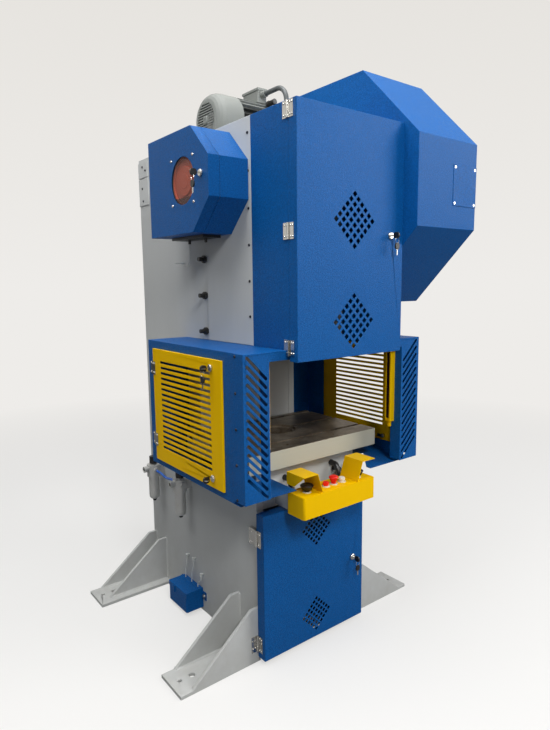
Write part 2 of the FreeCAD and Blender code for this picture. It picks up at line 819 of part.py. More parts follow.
def drive_belts():
    """V-belts round the flywheel and the motor pulley."""
    big = V(0, crank_depth, crank_height)
    small = V(0, motor_depth, motor_height)
    apart = small - big
    heading = math.atan2(apart.z, apart.y)
    spread = math.acos((flywheel_radius - pulley_radius) / apart.Length)
    wedge = groove_flank() * (belt_height - 1)
    half_top = belt_top / 2 - belt_fit
    belts = []
    for place in belt_places():
        section = [(place - half_top, 0), (place + half_top, 0),
                   (place + half_top - wedge, 1 - belt_height), (place - half_top + wedge, 1 - belt_height)]

        def face_at(centre, radius, angle):
            out = V(0, math.cos(angle), math.sin(angle))
            return outline([V(x, 0, 0) + centre + out * (radius + rise) for x, rise in section])

        upper = heading + spread
        lower = heading - spread
        run = small + V(0, math.cos(upper), math.sin(upper)) * pulley_radius
        run = run - big - V(0, math.cos(upper), math.sin(upper)) * flywheel_radius
        back_run = small + V(0, math.cos(lower), math.sin(lower)) * pulley_radius
        back_run = back_run - big - V(0, math.cos(lower), math.sin(lower)) * flywheel_radius
        wrap = 360 - 2 * math.degrees(spread)
        around_big = face_at(big, flywheel_radius, upper).revolve(big, V(1, 0, 0), wrap)
        around_small = face_at(small, pulley_radius, lower).revolve(small, V(1, 0, 0), 360 - wrap)
        straight = face_at(big, flywheel_radius, upper).extrude(run)
        returning = face_at(big, flywheel_radius, lower).extrude(back_run)
        belts.append(fuse([around_big, straight, around_small, returning]))
    return belts


def groove_flank():
    """How far a groove narrows on each side, per millimetre of depth."""
    return (belt_top / 2 - groove_root) / (belt_height + 2)


def motor():
    """Finned body on its feet, fan cowl with a slotted grille, and terminal box."""
    axis = V(1, 0, 0)
    centre = V(0, motor_depth, motor_height)
    start = motor_cowl_right - 12
    core = cylinder(motor_core_radius, centre + axis * start, motor_face - start, axis)
    bodies = [core]
    for k in range(motor_fin_count):
        angle = 360.0 * k / motor_fin_count
        fin = box((motor_cowl_right + 1, motor_face - motor_shield),
                  (motor_depth - motor_fin_thickness / 2, motor_depth + motor_fin_thickness / 2),
                  (motor_height + motor_core_radius - 3, motor_height + motor_fin_radius))
        fin.rotate(centre, axis, angle)
        bodies.append(fin)
    shield = cylinder(motor_fin_radius, centre + axis * (motor_face - motor_shield), motor_shield, axis)
    bodies.append(shield)
    base = frame_height + motor_seat
    for x in motor_foot_places:
        for side in (-1, 1):
            outer = motor_depth + side * 108
            near = motor_depth + side * 60
            foot_section = [(outer, base), (near, base), (near, base + 46), (outer, base + 16)]
            bodies.append(prism_x(foot_section, (x, x + motor_foot_width)))
    body = fuse(bodies)
    seat = terminal_box_seat()
    room_x, room_y = terminal_box_footprint(5)
    body = body.cut(box(room_x, room_y, (seat, seat + motor_fin_radius)))
    pad_x, pad_y = terminal_box_footprint(-5)
    body = fuse([body, box(pad_x, pad_y, (seat - 14, seat))])
    body = body.cut(cylinder(motor_shaft_radius + running_fit, centre + axis * (start - 1),
                             motor_face - start + 2, axis))
    rails = []
    for side in (-1, 1):
        middle = motor_depth + side * 90
        y = (middle - motor_rail_width / 2, middle + motor_rail_width / 2)
        rails.append(box((motor_foot_places[0] - 30, motor_face), y, (frame_height, base)))
    return [body, motor_cowl(), terminal_box()] + rails


def motor_cowl():
    """The fan cowl: a wide rounded shoulder, a flat grille of level bars and its hub."""
    wall = 3.0
    rim = motor_cowl_radius
    flat = motor_grille_radius
    left = motor_cowl_left
    right = motor_cowl_right
    steps = 5
    outside = []
    inside = []
    for k in range(steps + 1):
        turn = math.pi / 2 * k / steps
        outside.append((flat + (rim - flat) * math.sin(turn), left + motor_shoulder * (1 - math.cos(turn))))
        inside.append((flat + (rim - wall - flat) * math.sin(turn),
                       left + wall + (motor_shoulder - wall) * (1 - math.cos(turn))))
    profile = [(0, left)] + outside + [(rim, right), (rim - wall, right)] + inside[::-1]
    profile.append((0, left + wall))
    cowl = turned(profile, V(0, motor_depth, motor_height), V(1, 0, 0))
    pitch = 2 * motor_grille_radius / (motor_grille_slots + 1)
    for k in range(motor_grille_slots):
        offset = (k - (motor_grille_slots - 1) / 2) * pitch
        reach = math.sqrt(motor_grille_radius ** 2 - offset ** 2) - 6
        spans = [(-reach, reach)]
        if abs(offset) < motor_grille_hub:
            spans = [(-reach, -motor_grille_hub), (motor_grille_hub, reach)]
        for span in spans:
            slot = box((left - 1, left + wall + 1), (motor_depth + span[0], motor_depth + span[1]),
                       (motor_height + offset - motor_grille_slot / 2,
                        motor_height + offset + motor_grille_slot / 2))
            cowl = cowl.cut(slot)
    seat = cylinder(motor_core_radius, V(right - 12, motor_depth, motor_height), 11, V(1, 0, 0))
    ring = cylinder(rim - wall, V(right - 12, motor_depth, motor_height), 6, V(1, 0, 0)).cut(seat)
    return fuse([cowl, ring])


def terminal_box_seat():
    """Height of the pad under the terminal box."""
    return motor_height + motor_core_radius + 4


def terminal_box_footprint(grow):
    """The box's extent along X and Y, grown on every side."""
    depth = terminal_box_depth / 2 + grow
    x = (terminal_box_left - grow, terminal_box_left + terminal_box_length + grow)
    return x, (motor_depth - depth, motor_depth + depth)


def terminal_box():
    """The case on its pad, with its lid and the gland that faces the front."""
    top = motor_height + terminal_box_top
    seam = top - terminal_box_lid
    x, y = terminal_box_footprint(0)
    case = box(x, y, (terminal_box_seat(), seam))
    uprights = [edge for edge in case.Edges if edge.BoundBox.ZLength > 20]
    case = case.makeFillet(8, uprights)
    lid_x, lid_y = terminal_box_footprint(3)
    lid = box(lid_x, lid_y, (seam, top))
    rims = [edge for edge in lid.Edges if edge.BoundBox.ZMin > top - 1]
    lid = lid.makeChamfer(4, rims)
    gland = cylinder(cable_gland_radius, V(sum(x) / 2, y[0], top - terminal_gland_drop),
                     cable_gland_length, V(0, -1, 0))
    return fuse([case, lid, gland])


def motor_rotor():
    """Shaft, cooling fan and grooved pulley."""
    axis = V(1, 0, 0)
    centre = V(0, motor_depth, motor_height)
    left = motor_cowl_left + 24
    pulley = (flywheel_left + 2, flywheel_left + flywheel_width - 2)
    shaft = cylinder(motor_shaft_radius, centre + axis * left, pulley[1] - left, axis)
    sheave = grooved_rim(pulley_radius, motor_shaft_radius - 2, pulley, (motor_depth, motor_height))
    fan = cylinder(40, centre + axis * (left + 4), 50, axis)
    blades = []
    for k in range(6):
        blade = box((left + 10, left + 50), (motor_depth - 2, motor_depth + 2),
                    (motor_height + 36, motor_height + 108))
        blade.rotate(centre, axis, 60 * k)
        blades.append(blade)
    return fuse([shaft, sheave, fan] + blades)


def motor_cable():
    """The conduit from the front of the terminal box down to the top plate."""
    x, y = terminal_box_footprint(0)
    start = V(sum(x) / 2, y[0] - cable_gland_length, motor_height + terminal_box_top - terminal_gland_drop)
    corner = V(start.x, cable_landing, start.z)
    return tube([start, corner, V(start.x, cable_landing, frame_height)], cable_radius)


# ---- sheet covers -------------------------------------------------------------------------
def diamond_vent(plate, centre, pitch, hole, depth_y):
    """Square holes in a square pattern, both turned to stand on a corner."""
    half_diagonal = hole / math.sqrt(2)
    step = pitch / math.sqrt(2)
    holes = []
    for row in range(vent_rows):
        for column in range(vent_rows):
            x = centre[0] + (row - column) * step
            z = centre[1] + (row + column - vent_rows + 1) * step
            holes.append(prism_y([(x - half_diagonal, z), (x, z - half_diagonal),
                                  (x + half_diagonal, z), (x, z + half_diagonal)], depth_y))
    return plate.cut(Part.makeCompound(holes))


def tray(x, y, z, wall):
    """A folded door: a front sheet with four returns, open at the back."""
    outside = box(x, y, z)
    return outside.cut(box((x[0] + wall, x[1] - wall), (y[0] + wall, y[1] + 1),
                           (z[0] + wall, z[1] - wall)))


def upper_housing():
    """The fixed part of the front housing: sides, top, door lip and rear flange."""
    y = (housing_front, 0)
    outside = box((-half, half), y, (throat_top, housing_top))
    hollow = box((-half + sheet, half - sheet), (y[0] - 1, y[1] + 1),
                 (throat_top - 1, housing_top - sheet))
    shell = outside.cut(hollow)
    lips = []
    for side in (-1, 1):
        edge = side * (half - sheet)
        lips.append(box(sorted((edge, edge - side * housing_lip)), (y[0], y[0] + sheet),
                        (throat_top, housing_top)))
        lips.append(box(sorted((edge, side * (inner - sheet))), (-sheet, 0),
                        (throat_top, housing_top)))
        lips.append(box(sorted((side * inner, side * (inner - sheet))), (-sheet, 40),
                        (throat_top, housing_top - cross_plate - 2)))
    return fuse([shell] + lips)


def lock_hole(place, outward):
    return cylinder(barrel_radius + seat_gap, place - outward * 20, 40, outward)


def upper_door():
    door = tray((-half, half), (upper_door_front, housing_front - door_gap),
                (upper_door_bottom, housing_top), sheet)
    skin = (upper_door_front - 1, upper_door_front + sheet + 1)
    pitch = upper_vent_pitch * upper_door_height
    for place in upper_vent_places:
        height = upper_door_bottom + place * upper_door_height
        door = diamond_vent(door, (4, height), pitch, pitch * upper_vent_hole, skin)
    return door.cut(lock_hole(upper_lock, FRONT))


def lower_door():
    door = tray((lower_door_left, lower_door_right), (lower_door_front, lower_door_back),
                (lower_door_bottom, apron_bottom), sheet)
    skin = (lower_door_front - 1, lower_door_front + sheet + 1)
    middle = (lower_door_left + lower_door_right) / 2
    for height in lower_vent_heights:
        door = diamond_vent(door, (middle, height), lower_vent_pitch, lower_vent_hole, skin)
    return door.cut(lock_hole(lower_lock, FRONT))


def cover_outline(inset):
    """The eight-sided outline of the flywheel cover, moved inwards by inset."""
    corner = inset * math.tan(math.radians(22.5))
    high = crank_height + cover_nose_rise - corner
    low = crank_height - cover_nose_drop + corner
    return [(cover_front + cover_slope + corner, cover_top - inset),
            (cover_front + inset, high),
            (cover_front + inset, low),
            (cover_front + cover_slope + corner, cover_bottom + inset),
            (cover_back - cover_slope - corner, cover_bottom + inset),
            (cover_back - inset, low),
            (cover_back - inset, high),
            (cover_back - cover_slope - corner, cover_top - inset)]


def flywheel_cover():
    """The hollow cover, open towards the frame round the shafts, and its access panel."""
    outside = prism_x(cover_outline(0), (half, half + cover_width))
    hollow = prism_x(cover_outline(cover_wall), (half + cover_wall, half + cover_width - cover_wall))
    shell = outside.cut(hollow)
    for radius, depth, height in ((cover_crank_hole, crank_depth, crank_height),
                                  (cover_motor_hole, motor_depth, motor_height)):
        shell = shell.cut(cylinder(radius, V(half - 1, depth, height), cover_wall + 2, V(1, 0, 0)))
    for height in gib_screw_heights():
        if height > cover_bottom:
            shell = shell.cut(cylinder(screw_access_radius, V(half - 1, gib_middle, height),
                                       cover_wall + 2, V(1, 0, 0)))
    right = half + cover_width - 1
    panel = box((right - access_panel_width, right),
                (cover_front - access_panel_thickness, cover_front),
                (crank_height - access_panel_height / 2, crank_height + access_panel_height / 2))
    return shell, panel


# ---- cam switch box -------------------------------------------------------------------------
def cam_outline(inset):
    """The outline of the cam box, moved inwards by inset."""
    corner = inset * math.tan(math.radians(22.5))
    return [(cam_box_front + inset, crank_height - cam_nose_drop + corner),
            (cam_box_front + inset, crank_height + cam_nose_rise - corner),
            (cam_box_front + cam_box_slope + corner, cam_box_top - inset),
            (cam_box_back - inset, cam_box_top - inset),
            (cam_box_back - inset, cam_box_bottom + inset),
            (cam_box_front + cam_box_slope + corner, cam_box_bottom + inset)]


def cam_box():
    """The fixed half of the box, with the shaft hole and the lip for the lock."""
    shell = prism_x(cam_outline(0), (cam_seam, -half))
    shell = shell.cut(prism_x(cam_outline(sheet), (cam_seam - 1, -half - sheet)))
    shell = shell.cut(cylinder(journal_radius + 12, V(-half - sheet - 1, crank_depth, crank_height),
                               sheet + 2, V(1, 0, 0)))
    lip = box((cam_seam, cam_seam + sheet), (cam_box_front + sheet, cam_box_front + 24),
              (crank_height - cam_nose_drop + 4, crank_height + cam_nose_rise - 4))
    return fuse([shell, lip])


def cam_box_lid():
    """The lid with its round opening."""
    inner_face = cam_seam - cam_lid_gap
    shell = prism_x(cam_outline(0), (cam_face, inner_face))
    shell = shell.cut(prism_x(cam_outline(sheet), (cam_face + sheet, inner_face + 1)))
    shell = shell.cut(cylinder(window_radius, V(cam_face - 1, crank_depth, crank_height),
                               sheet + 2, V(1, 0, 0)))
    return shell.cut(lock_hole(cam_lock, LEFT))


def cam_box_window():
    side = window_size / 2
    x = cam_face + sheet
    return box((x, x + window_sheet), (crank_depth - side, crank_depth + side),
               (crank_height - side, crank_height + side))


def cam_switches():
    """The switch block beside the cams, and the gland plate under the box."""
    last = -half - cam_first - cam_count * cam_spacing
    rail_start = crank_depth + cam_radius + cam_first
    rail_end = rail_start + switch_rail_thickness
    rail = box((last, -half - sheet), (rail_start, rail_end),
               (crank_height - switch_rail_length / 2, crank_height + switch_rail_length / 2))
    block = box((last, -half - cam_first / 2), (rail_end, rail_end + switch_block_depth),
                (crank_height - switch_block_length / 2, crank_height + switch_block_length / 2))
    rollers = []
    for k in range(cam_count):
        place = V(-half - cam_first - k * cam_spacing - cam_thickness,
                  crank_depth + cam_radius + switch_roller_radius + 1, crank_height)
        roller = cylinder(switch_roller_radius, place, cam_thickness, V(1, 0, 0))
        arm = box((place.x + 3, place.x + 9), (place.y, rail_start), (crank_height - 3, crank_height + 3))
        rollers.append(fuse([roller, arm]))
    middle = cam_gland_line()
    strip = box((middle - gland_strip_width / 2, middle + gland_strip_width / 2), gland_strip_ends,
                (cam_box_bottom - gland_strip_thickness, cam_box_bottom))
    glands = [hexagon(cam_gland_across, V(middle, depth, gland_end()), cam_gland_length, V(0, 0, 1))
              for depth in cam_gland_depths]
    return fuse([rail, block] + rollers), fuse([strip] + glands)


def cam_gland_line():
    """Where the glands stand along X, in the middle of the fixed half of the box."""
    return -half - (cam_box_depth - cam_lid_depth) / 2


def gland_end():
    """The underside of the glands."""
    return cam_box_bottom - gland_strip_thickness - cam_gland_length


# ---- guards over the sides of the die space ------------------------------------------------
def guard_right():
    """Side, top, rear and bottom sheets round the opening for the guard door."""
    y = (guard_front + sheet, guard_back)
    z = (guard_bottom, guard_top)
    side = box((guard_side - sheet, guard_side), y, z)
    side = side.cut(box((guard_side - sheet - 1, guard_side + 1), (window_front, window_back),
                        (window_low, window_high)))
    side = side.cut(box((guard_side - sheet - 1, guard_side + 1),
                        (guard_front, guard_front + guard_lap), (guard_bottom - 1, guard_panel_bottom)))
    top = box((half, guard_side), y, (guard_top - sheet, guard_top))
    rear = box((half, guard_side), (guard_back - sheet, guard_back), z)
    bottom = box((half, guard_side), (0, guard_back), (guard_bottom, guard_bottom + sheet))
    return [side, top, rear, bottom]


def guard_shelf_left():
    """The bottom sheet in front of the frame on the left."""
    return box((-guard_side, -guard_shelf_inner), (guard_shelf_front, 0),
               (guard_bottom, guard_bottom + sheet))


def guard_shelf_right():
    """The one on the right, with its slanted inner corner."""
    points = [(guard_shelf_inner, guard_shelf_front), (guard_side, guard_shelf_front),
              (guard_side, guard_shelf_cut_depth), (guard_shelf_cut_side, guard_shelf_cut_depth),
              (guard_shelf_inner, guard_shelf_front + 26)]
    shelf = prism_z(points, (guard_bottom, guard_bottom + sheet))
    return shelf


def guard_front_panel():
    """The right slotted front panel, with its top bar, lap and inner return."""
    y = (guard_front, guard_front + sheet)
    panel = box((guard_inner, guard_side), y, (guard_panel_bottom, guard_top))
    bar = box((guard_bar_inner, guard_inner), y, (guard_bar_bottom, guard_top))
    lap = box((guard_side, guard_side + sheet), (guard_front, guard_front + guard_lap),
              (guard_panel_bottom, guard_top))
    inner_return = box((guard_inner, guard_inner + sheet), (guard_front, guard_front + guard_return),
                       (guard_panel_bottom, guard_bar_bottom))
    panel = fuse([panel, bar, lap, inner_return])
    slots = []
    for k in range(front_slot_count):
        high = front_slot_top - k * front_slot_pitch
        slots.append(slot_prism((front_slot_start, high),
                                (front_slot_start - front_slot_run, high - front_slot_run),
                                front_slot_width, (guard_front - 1, guard_front + sheet + 1)))
    return panel.cut(Part.makeCompound(slots))


def guard_door(which):
    """A shallow folded door on the right guard, with its row of level slots."""
    slot_back = door_slot_backs[which]
    door = box((guard_side + seat_gap, guard_side + seat_gap + guard_door_depth),
               (guard_door_front, guard_door_back), (guard_door_low, guard_door_high))
    wall = 2.0
    door = door.cut(box((guard_side, guard_side + seat_gap + guard_door_depth - wall),
                        (guard_door_front + wall, guard_door_back - wall),
                        (guard_door_low + wall, guard_door_high - wall)))
    slots = []
    x = (guard_side + 1, guard_side + guard_door_depth + 2)
    for k in range(door_slot_count):
        z = door_slot_lows[which] + k * door_slot_pitches[which]
        slots.append(box(x, (door_slot_front, slot_back), (z - door_slot_height / 2,
                                                           z + door_slot_height / 2)))
    door = door.cut(Part.makeCompound(slots))
    for height in guard_lock_heights:
        door = door.cut(lock_hole(V(guard_door_face, guard_lock_depth, height), RIGHT))
    return door


def hinge_notch():
    """Room in the left guard for the lowest hinge of the upper door."""
    return box((-half - leaf - 1, -half + 1), (guard_front - 1, housing_front + leaf_width + 1),
               (upper_hinge_heights[-1] - hinge_height / 2 - 1, guard_top + 1))


def light_curtain():
    """The right post of the light curtain, on the front panel's inner return."""
    x = (guard_inner - curtain_section, guard_inner)
    y = (curtain_front, curtain_front + curtain_section)
    post = box(x, y, (curtain_bottom, curtain_top))
    lens = box((x[0] - 1, x[0] + 2), (y[0] + 6, y[1] - 6), (curtain_bottom + 14, curtain_top - 14))
    plug = cylinder(9, V(x[0] + 15, y[0] + 15, curtain_bottom - 26), 26)
    return fuse([post.cut(lens), plug])


# ---- two-hand console ------------------------------------------------------------------------
def console():
    """The sheet box with its button holes, and a shroud over each palm button."""
    side = console_width / 2
    outside = box((-side, side), (console_front, console_back), (console_bottom, console_top))
    uprights = [edge for edge in outside.Edges if edge.BoundBox.ZLength > 50]
    outside = outside.makeFillet(console_corner, uprights)
    cavity = box((-side + sheet, side - sheet), (console_front + sheet, console_back - sheet),
                 (console_bottom + sheet, console_top - sheet))
    corners = [edge for edge in cavity.Edges if edge.BoundBox.ZLength > 50]
    case = outside.cut(cavity.makeFillet(console_corner - sheet, corners))
    for place in (-palm_place, palm_place, estop_place, red_place, white_place):
        case = case.cut(cylinder(palm_stem + 1, V(place, palm_depth, console_top - sheet - 1), 10))
    return case, shroud(True), mirrored(shroud(False))


def shroud(with_flap):
    """The left shroud: a slanted wall, a top sheet and sometimes a tapered outer flap."""
    top = console_top + shroud_height
    y = (console_front + 1, console_back)
    outer = console_width / 2
    wall = prism_y([(-shroud_foot, console_top), (-shroud_foot - sheet, console_top),
                    (-shroud_wall_top - sheet, top - sheet), (-shroud_wall_top, top - sheet)], y)
    roof = box((-outer, -shroud_wall_top), y, (top - sheet, top))
    pieces = [wall, roof]
    if with_flap:
        edge = [V(-outer, y[0], top - sheet), V(-outer, y[1], top - sheet),
                V(-outer, y[1], top - shroud_flap),
                V(-outer, y[1] - shroud_flap_foot, top - shroud_flap)]
        pieces.append(outline(edge).extrude(V(sheet, 0, 0)))
    foot_sheet = box((-shroud_foot - 16, -shroud_foot), y, (console_top, console_top + sheet))
    return fuse(pieces + [foot_sheet])


def mushroom(place, radius, height, dish):
    """A palm button: a stem that slides in the console and a domed head."""
    travel_room = palm_travel + bezel_height + 1
    profile = [(0, -30), (palm_stem - running_fit, -30), (palm_stem - running_fit, travel_room),
               (radius - mushroom_taper, travel_room), (radius - 2, height - 12), (radius, height - 8),
               (radius * 0.82, height - 3), (radius * 0.5, height), (0, height - dish)]
    return turned(profile, V(place, palm_depth, console_top), V(0, 0, 1))


def lamp_button(place):
    """A small round push button."""
    foot = bezel_height + lamp_travel + 1
    profile = [(0, -24), (lamp_stem - running_fit, -24), (lamp_stem - running_fit, foot),
               (lamp_radius, foot), (lamp_radius, foot + lamp_height - 2),
               (lamp_radius - 2, foot + lamp_height), (0, foot + lamp_height)]
    return turned(profile, V(place, palm_depth, console_top), V(0, 0, 1))


def button_bezels():
    """Collars round the stems, seated on the console."""
    rings = []
    for place in (-palm_place, palm_place, estop_place, red_place, white_place):
        ring = turned([(palm_stem, -sheet - 6), (palm_stem + 0.8, -sheet - 6), (palm_stem + 0.8, 0),
                       (bezel_radius, 0), (bezel_radius - 2, bezel_height), (palm_stem, bezel_height)],
                      V(place, palm_depth, console_top), V(0, 0, 1))
        rings.append(ring)
    return rings


def console_brackets():
    z = (console_bottom + 4, console_bottom + 4 + bracket_height)
    bracket = box((bracket_place, bracket_place + bracket_thickness), (console_back, 0), z)
    return bracket, mirrored(bracket)


def console_conduits():
    """Cable conduits between the bed and the back of the console, with their glands."""
    conduits = []
    for bed, box_end in zip(conduit_beds, conduit_boxes):
        low = V(box_end[0], console_back + gland_height, box_end[1])
        high = V(bed[0], -gland_height, bed[1])
        conduits.append(tube([low, low + V(0, 27, 0), high - V(0, 27, 0), high], conduit_radius))
        conduits.append(cylinder(conduit_gland_radius, V(low.x, console_back, low.z), gland_height,
                                 V(0, 1, 0)))
        conduits.append(cylinder(conduit_gland_radius, high, gland_height, V(0, 1, 0)))
    return conduits


# ---- air units and lubricator -----------------------------------------------------------------
def air_unit(depth):
    """A filter regulator: head with side ports and a gauge, bowl, drain and wall bracket."""
    centre = V(air_axis, depth, 0)
    head = cylinder(air_head_radius, centre + V(0, 0, air_head_bottom), air_head_top - air_head_bottom)
    ports = cylinder(17, V(air_axis, depth - air_head_radius - 10, air_port_height),
                     2 * (air_head_radius + 10), V(0, 1, 0))
    arm = box((air_axis, -half), (depth - 16, depth + 16), (air_head_bottom + 8, air_head_top - 10))
    bowl = turned([(0, air_bowl_bottom), (air_bowl_radius - 9, air_bowl_bottom),
                   (air_bowl_radius - 2, air_bowl_bottom + 8), (air_bowl_radius, air_bowl_bottom + 22),
                   (air_bowl_radius, air_head_bottom), (0, air_head_bottom)], centre, V(0, 0, 1))
    drain = cylinder(7, centre + V(0, 0, air_bowl_bottom - 14), 14)
    neck = cylinder(12, centre + V(0, 0, air_head_top), 6)
    dial = V(air_axis, depth, air_port_height + air_gauge_rise)
    gauge = cylinder(air_gauge_radius, dial, air_gauge_reach, V(-1, 0, 0))
    face = cylinder(air_gauge_radius - 3, dial - V(air_gauge_reach - 3, 0, 0), 4, V(-1, 0, 0))
    return fuse([head, ports, arm, bowl, drain, neck, gauge.cut(face)])


def air_knob(depth):
    """The pressure knob on top of a unit."""
    base = air_head_top + 6 + seat_gap
    knob = cylinder(air_knob_radius, V(air_axis, depth, base), air_knob_height)
    for k in range(8):
        angle = math.radians(45 * k)
        groove = cylinder(3.2, V(air_axis + air_knob_radius * math.cos(angle),
                                 depth + air_knob_radius * math.sin(angle), base + 12),
                          air_knob_height)
        knob = knob.cut(groove)
    return knob


def air_hose():
    """The hose between the two units, and the inlet elbow of the rear one."""
    rear, front = air_unit_depths
    start = rear - air_head_radius - 10
    end = front + air_head_radius + 10
    middle = (start + end) / 2
    return tube([V(air_axis, start, air_port_height), V(air_axis, start - air_hose_lead, air_port_height),
                 V(air_axis, middle, air_port_height - air_hose_sag),
                 V(air_axis, end + air_hose_lead, air_port_height), V(air_axis, end, air_port_height)],
                air_hose_radius)


def oil_tank():
    """The tank, its wall strip with the outlets, and the two mounting ears."""
    left = -half - tank_out
    body = box((left, -half), (tank_front, tank_back), (tank_bottom, tank_top))
    uprights = [edge for edge in body.Edges
                if edge.BoundBox.ZLength > 50 and edge.BoundBox.XMax < -half - 1]
    body = body.makeFillet(8, uprights)
    body = body.cut(box((left + 4, -half - 4), (tank_front + 4, tank_back - 4),
                        (tank_bottom + 4, tank_top + 1)))
    strip = box((-half - tank_manifold, -half), (tank_front, tank_back), (tank_top, tank_lid_top))
    strip = strip.cut(lid_bead(tank_front - 1, tank_back + 1, tank_bead_radius + seat_gap))
    ears = box((-half - 4, -half), (tank_front - 34, tank_back + 34), (70, 112))
    ears = ears.cut(slot_hole_x(tank_front - 18)).cut(slot_hole_x(tank_back + 18))
    return fuse([body, strip, ears])


def lid_bead(front, back, radius):
    """A round along the axis on which the lid turns."""
    return cylinder(radius, V(-half - tank_manifold - seat_gap, front, tank_lid_top), back - front, V(0, 1, 0))


def slot_hole_x(depth):
    return cylinder(6, V(-half - 5, depth, 91), 6, V(1, 0, 0))


def oil_tank_lid():
    """The filler lid with its latch, hinged along the wall strip."""
    left = -half - tank_out
    right = -half - tank_manifold - seat_gap
    lid = box((left, right), (tank_front, tank_back), (tank_top + seat_gap, tank_lid_top))
    rims = [edge for edge in lid.Edges
            if edge.BoundBox.ZMin > tank_lid_top - 1 and edge.BoundBox.XMax < right - 1]
    lid = lid.makeFillet(6, rims)
    lid = lid.cut(box((left + 4, right - 4), (tank_front + 4, tank_back - 4),
                      (tank_top, tank_lid_top - 5)))
    middle = (tank_front + tank_back) / 2 + 40
    latch = box((left - 5, left), (middle - 14, middle + 14), (tank_top - 14, tank_lid_top - 8))
    return fuse([lid, latch, lid_bead(tank_front, tank_back, tank_bead_radius)])


def oil_lines():
    """Three lines from the tank up to fittings on the side plate, and one under the cam box."""
    pieces = []
    x = -half - 14
    for outlet, fitting in zip(oil_outlet_depths, oil_fitting_places):
        low = V(x, outlet, tank_lid_top)
        high = V(x, fitting[0], fitting[1] - 8)
        rise = (high.z - low.z) / 3
        pieces.append(tube([low, low + V(0, 0, rise), high - V(0, 0, rise), high], oil_line_radius))
        stem = cylinder(5, V(-half - 14, fitting[0], fitting[1]), 14, V(1, 0, 0))
        elbow = turned([(0, -8), (7, -8), (7, 6), (0, 6)], V(x, fitting[0], fitting[1]), V(0, 0, 1))
        pieces.append(fuse([stem, elbow]))
    fitting = V(x, capillary_fitting[0], crank_height - capillary_fitting[1])
    nipple = cylinder(5, fitting + V(14, 0, 0), 20, V(-1, 0, 0))
    start = V(cam_gland_line(), cam_gland_depths[1], gland_end())
    reach = fitting - V(6, 0, 0)
    low = V(start.x, start.y, reach.z - capillary_sag)
    pieces.append(nipple)
    pieces.append(tube([start, low, V(reach.x - 40, reach.y, reach.z), reach], capillary_radius))
    return pieces


# ---- hinges and locks ---------------------------------------------------------------------------
FRONT = V(0, -1, 0)
LEFT = V(-1, 0, 0)
RIGHT = V(1, 0, 0)
UP = V(0, 0, 1)

upper_pin = (-half - knuckle_radius - seat_gap, housing_front)
upper_hinge_heights = (housing_top - 34, upper_door_bottom + upper_door_height / 2 + 13.5,
                       upper_door_bottom + 54)
lower_pin = (lower_door_left - knuckle_radius - 0.5, front_foot[0] - knuckle_radius - seat_gap)
lower_hinge_heights = (592.0, 92.0)
lower_hinge_height = 76.0
guard_pin = (guard_side + 7.0, guard_door_back + knuckle_radius + 0.5)
guard_hinge_heights = (1314.0, 968.0)
guard_door_face = guard_side + seat_gap + guard_door_depth
guard_lock_heights = (1371.0, 911.0)
guard_lock_depth = -10.0
cam_pin = (cam_seam, cam_box_back + knuckle_radius + seat_gap)
cam_hinge_heights = (crank_height + 122, crank_height - 130)
upper_lock = V(219, upper_door_front, upper_hinge_heights[1])
lower_lock = V(231, lower_door_front, 354)
cam_lock = V(cam_face, 73, crank_height + 10)

upper_reach = housing_front + sheet + upper_tongue_room - upper_door_front
lower_reach = 7.0 - lower_door_front
cam_reach = cam_lid_depth + sheet + tongue_room
guard_reach = guard_door_depth + seat_gap + sheet + tongue_room


def upper_hinges():
    fixed_leaf = [((-half - leaf, -half), (housing_front, housing_front + leaf_width))]
    moving_leaf = [((-half - leaf, -half), (housing_front - leaf_width, housing_front))]
    return [hinge(upper_pin, z, fixed_leaf, moving_leaf) for z in upper_hinge_heights]


def lower_hinges():
    """The upper one is cranked round from the side plate, the lower one sits on the gusset."""
    moving_leaf = [((lower_door_left - leaf, lower_door_left), (lower_pin[1] - leaf_width, lower_pin[1]))]
    outside = (lower_door_left - leaf - 1.5, lower_door_left - 1.5)
    cranked = [(outside, (lower_pin[1], 36)), ((outside[0], -half), (2, 36))]
    gusset_face = front_foot_gussets[0]
    flat = [((lower_pin[0] - leaf_width, lower_pin[0]), (gusset_face - leaf, gusset_face))]
    return [hinge(lower_pin, lower_hinge_heights[0], cranked, moving_leaf, lower_hinge_height),
            hinge(lower_pin, lower_hinge_heights[1], flat, moving_leaf, lower_hinge_height)]


def guard_hinges():
    fixed_leaf = [((guard_side, guard_side + 4), (guard_pin[1], guard_pin[1] + leaf_width))]
    moving_leaf = [((guard_door_face, guard_door_face + leaf), (guard_pin[1] - leaf_width, guard_pin[1]))]
    return [hinge(guard_pin, z, fixed_leaf, moving_leaf) for z in guard_hinge_heights]


def cam_hinges():
    wall = (cam_box_back, cam_box_back + leaf)
    fixed_leaf = [((cam_pin[0], cam_pin[0] + leaf_width), wall)]
    moving_leaf = [((cam_pin[0] - leaf_width, cam_pin[0]), wall)]
    return [hinge(cam_pin, z, fixed_leaf, moving_leaf) for z in cam_hinge_heights]


def mirrored_place(place):
    return V(-place.x, place.y, place.z)


def guard_lock_places():
    return [V(guard_door_face, guard_lock_depth, height) for height in guard_lock_heights]


# ---- every piece, written out --------------------------------------------------------------------
os.makedirs("parts", exist_ok=True)

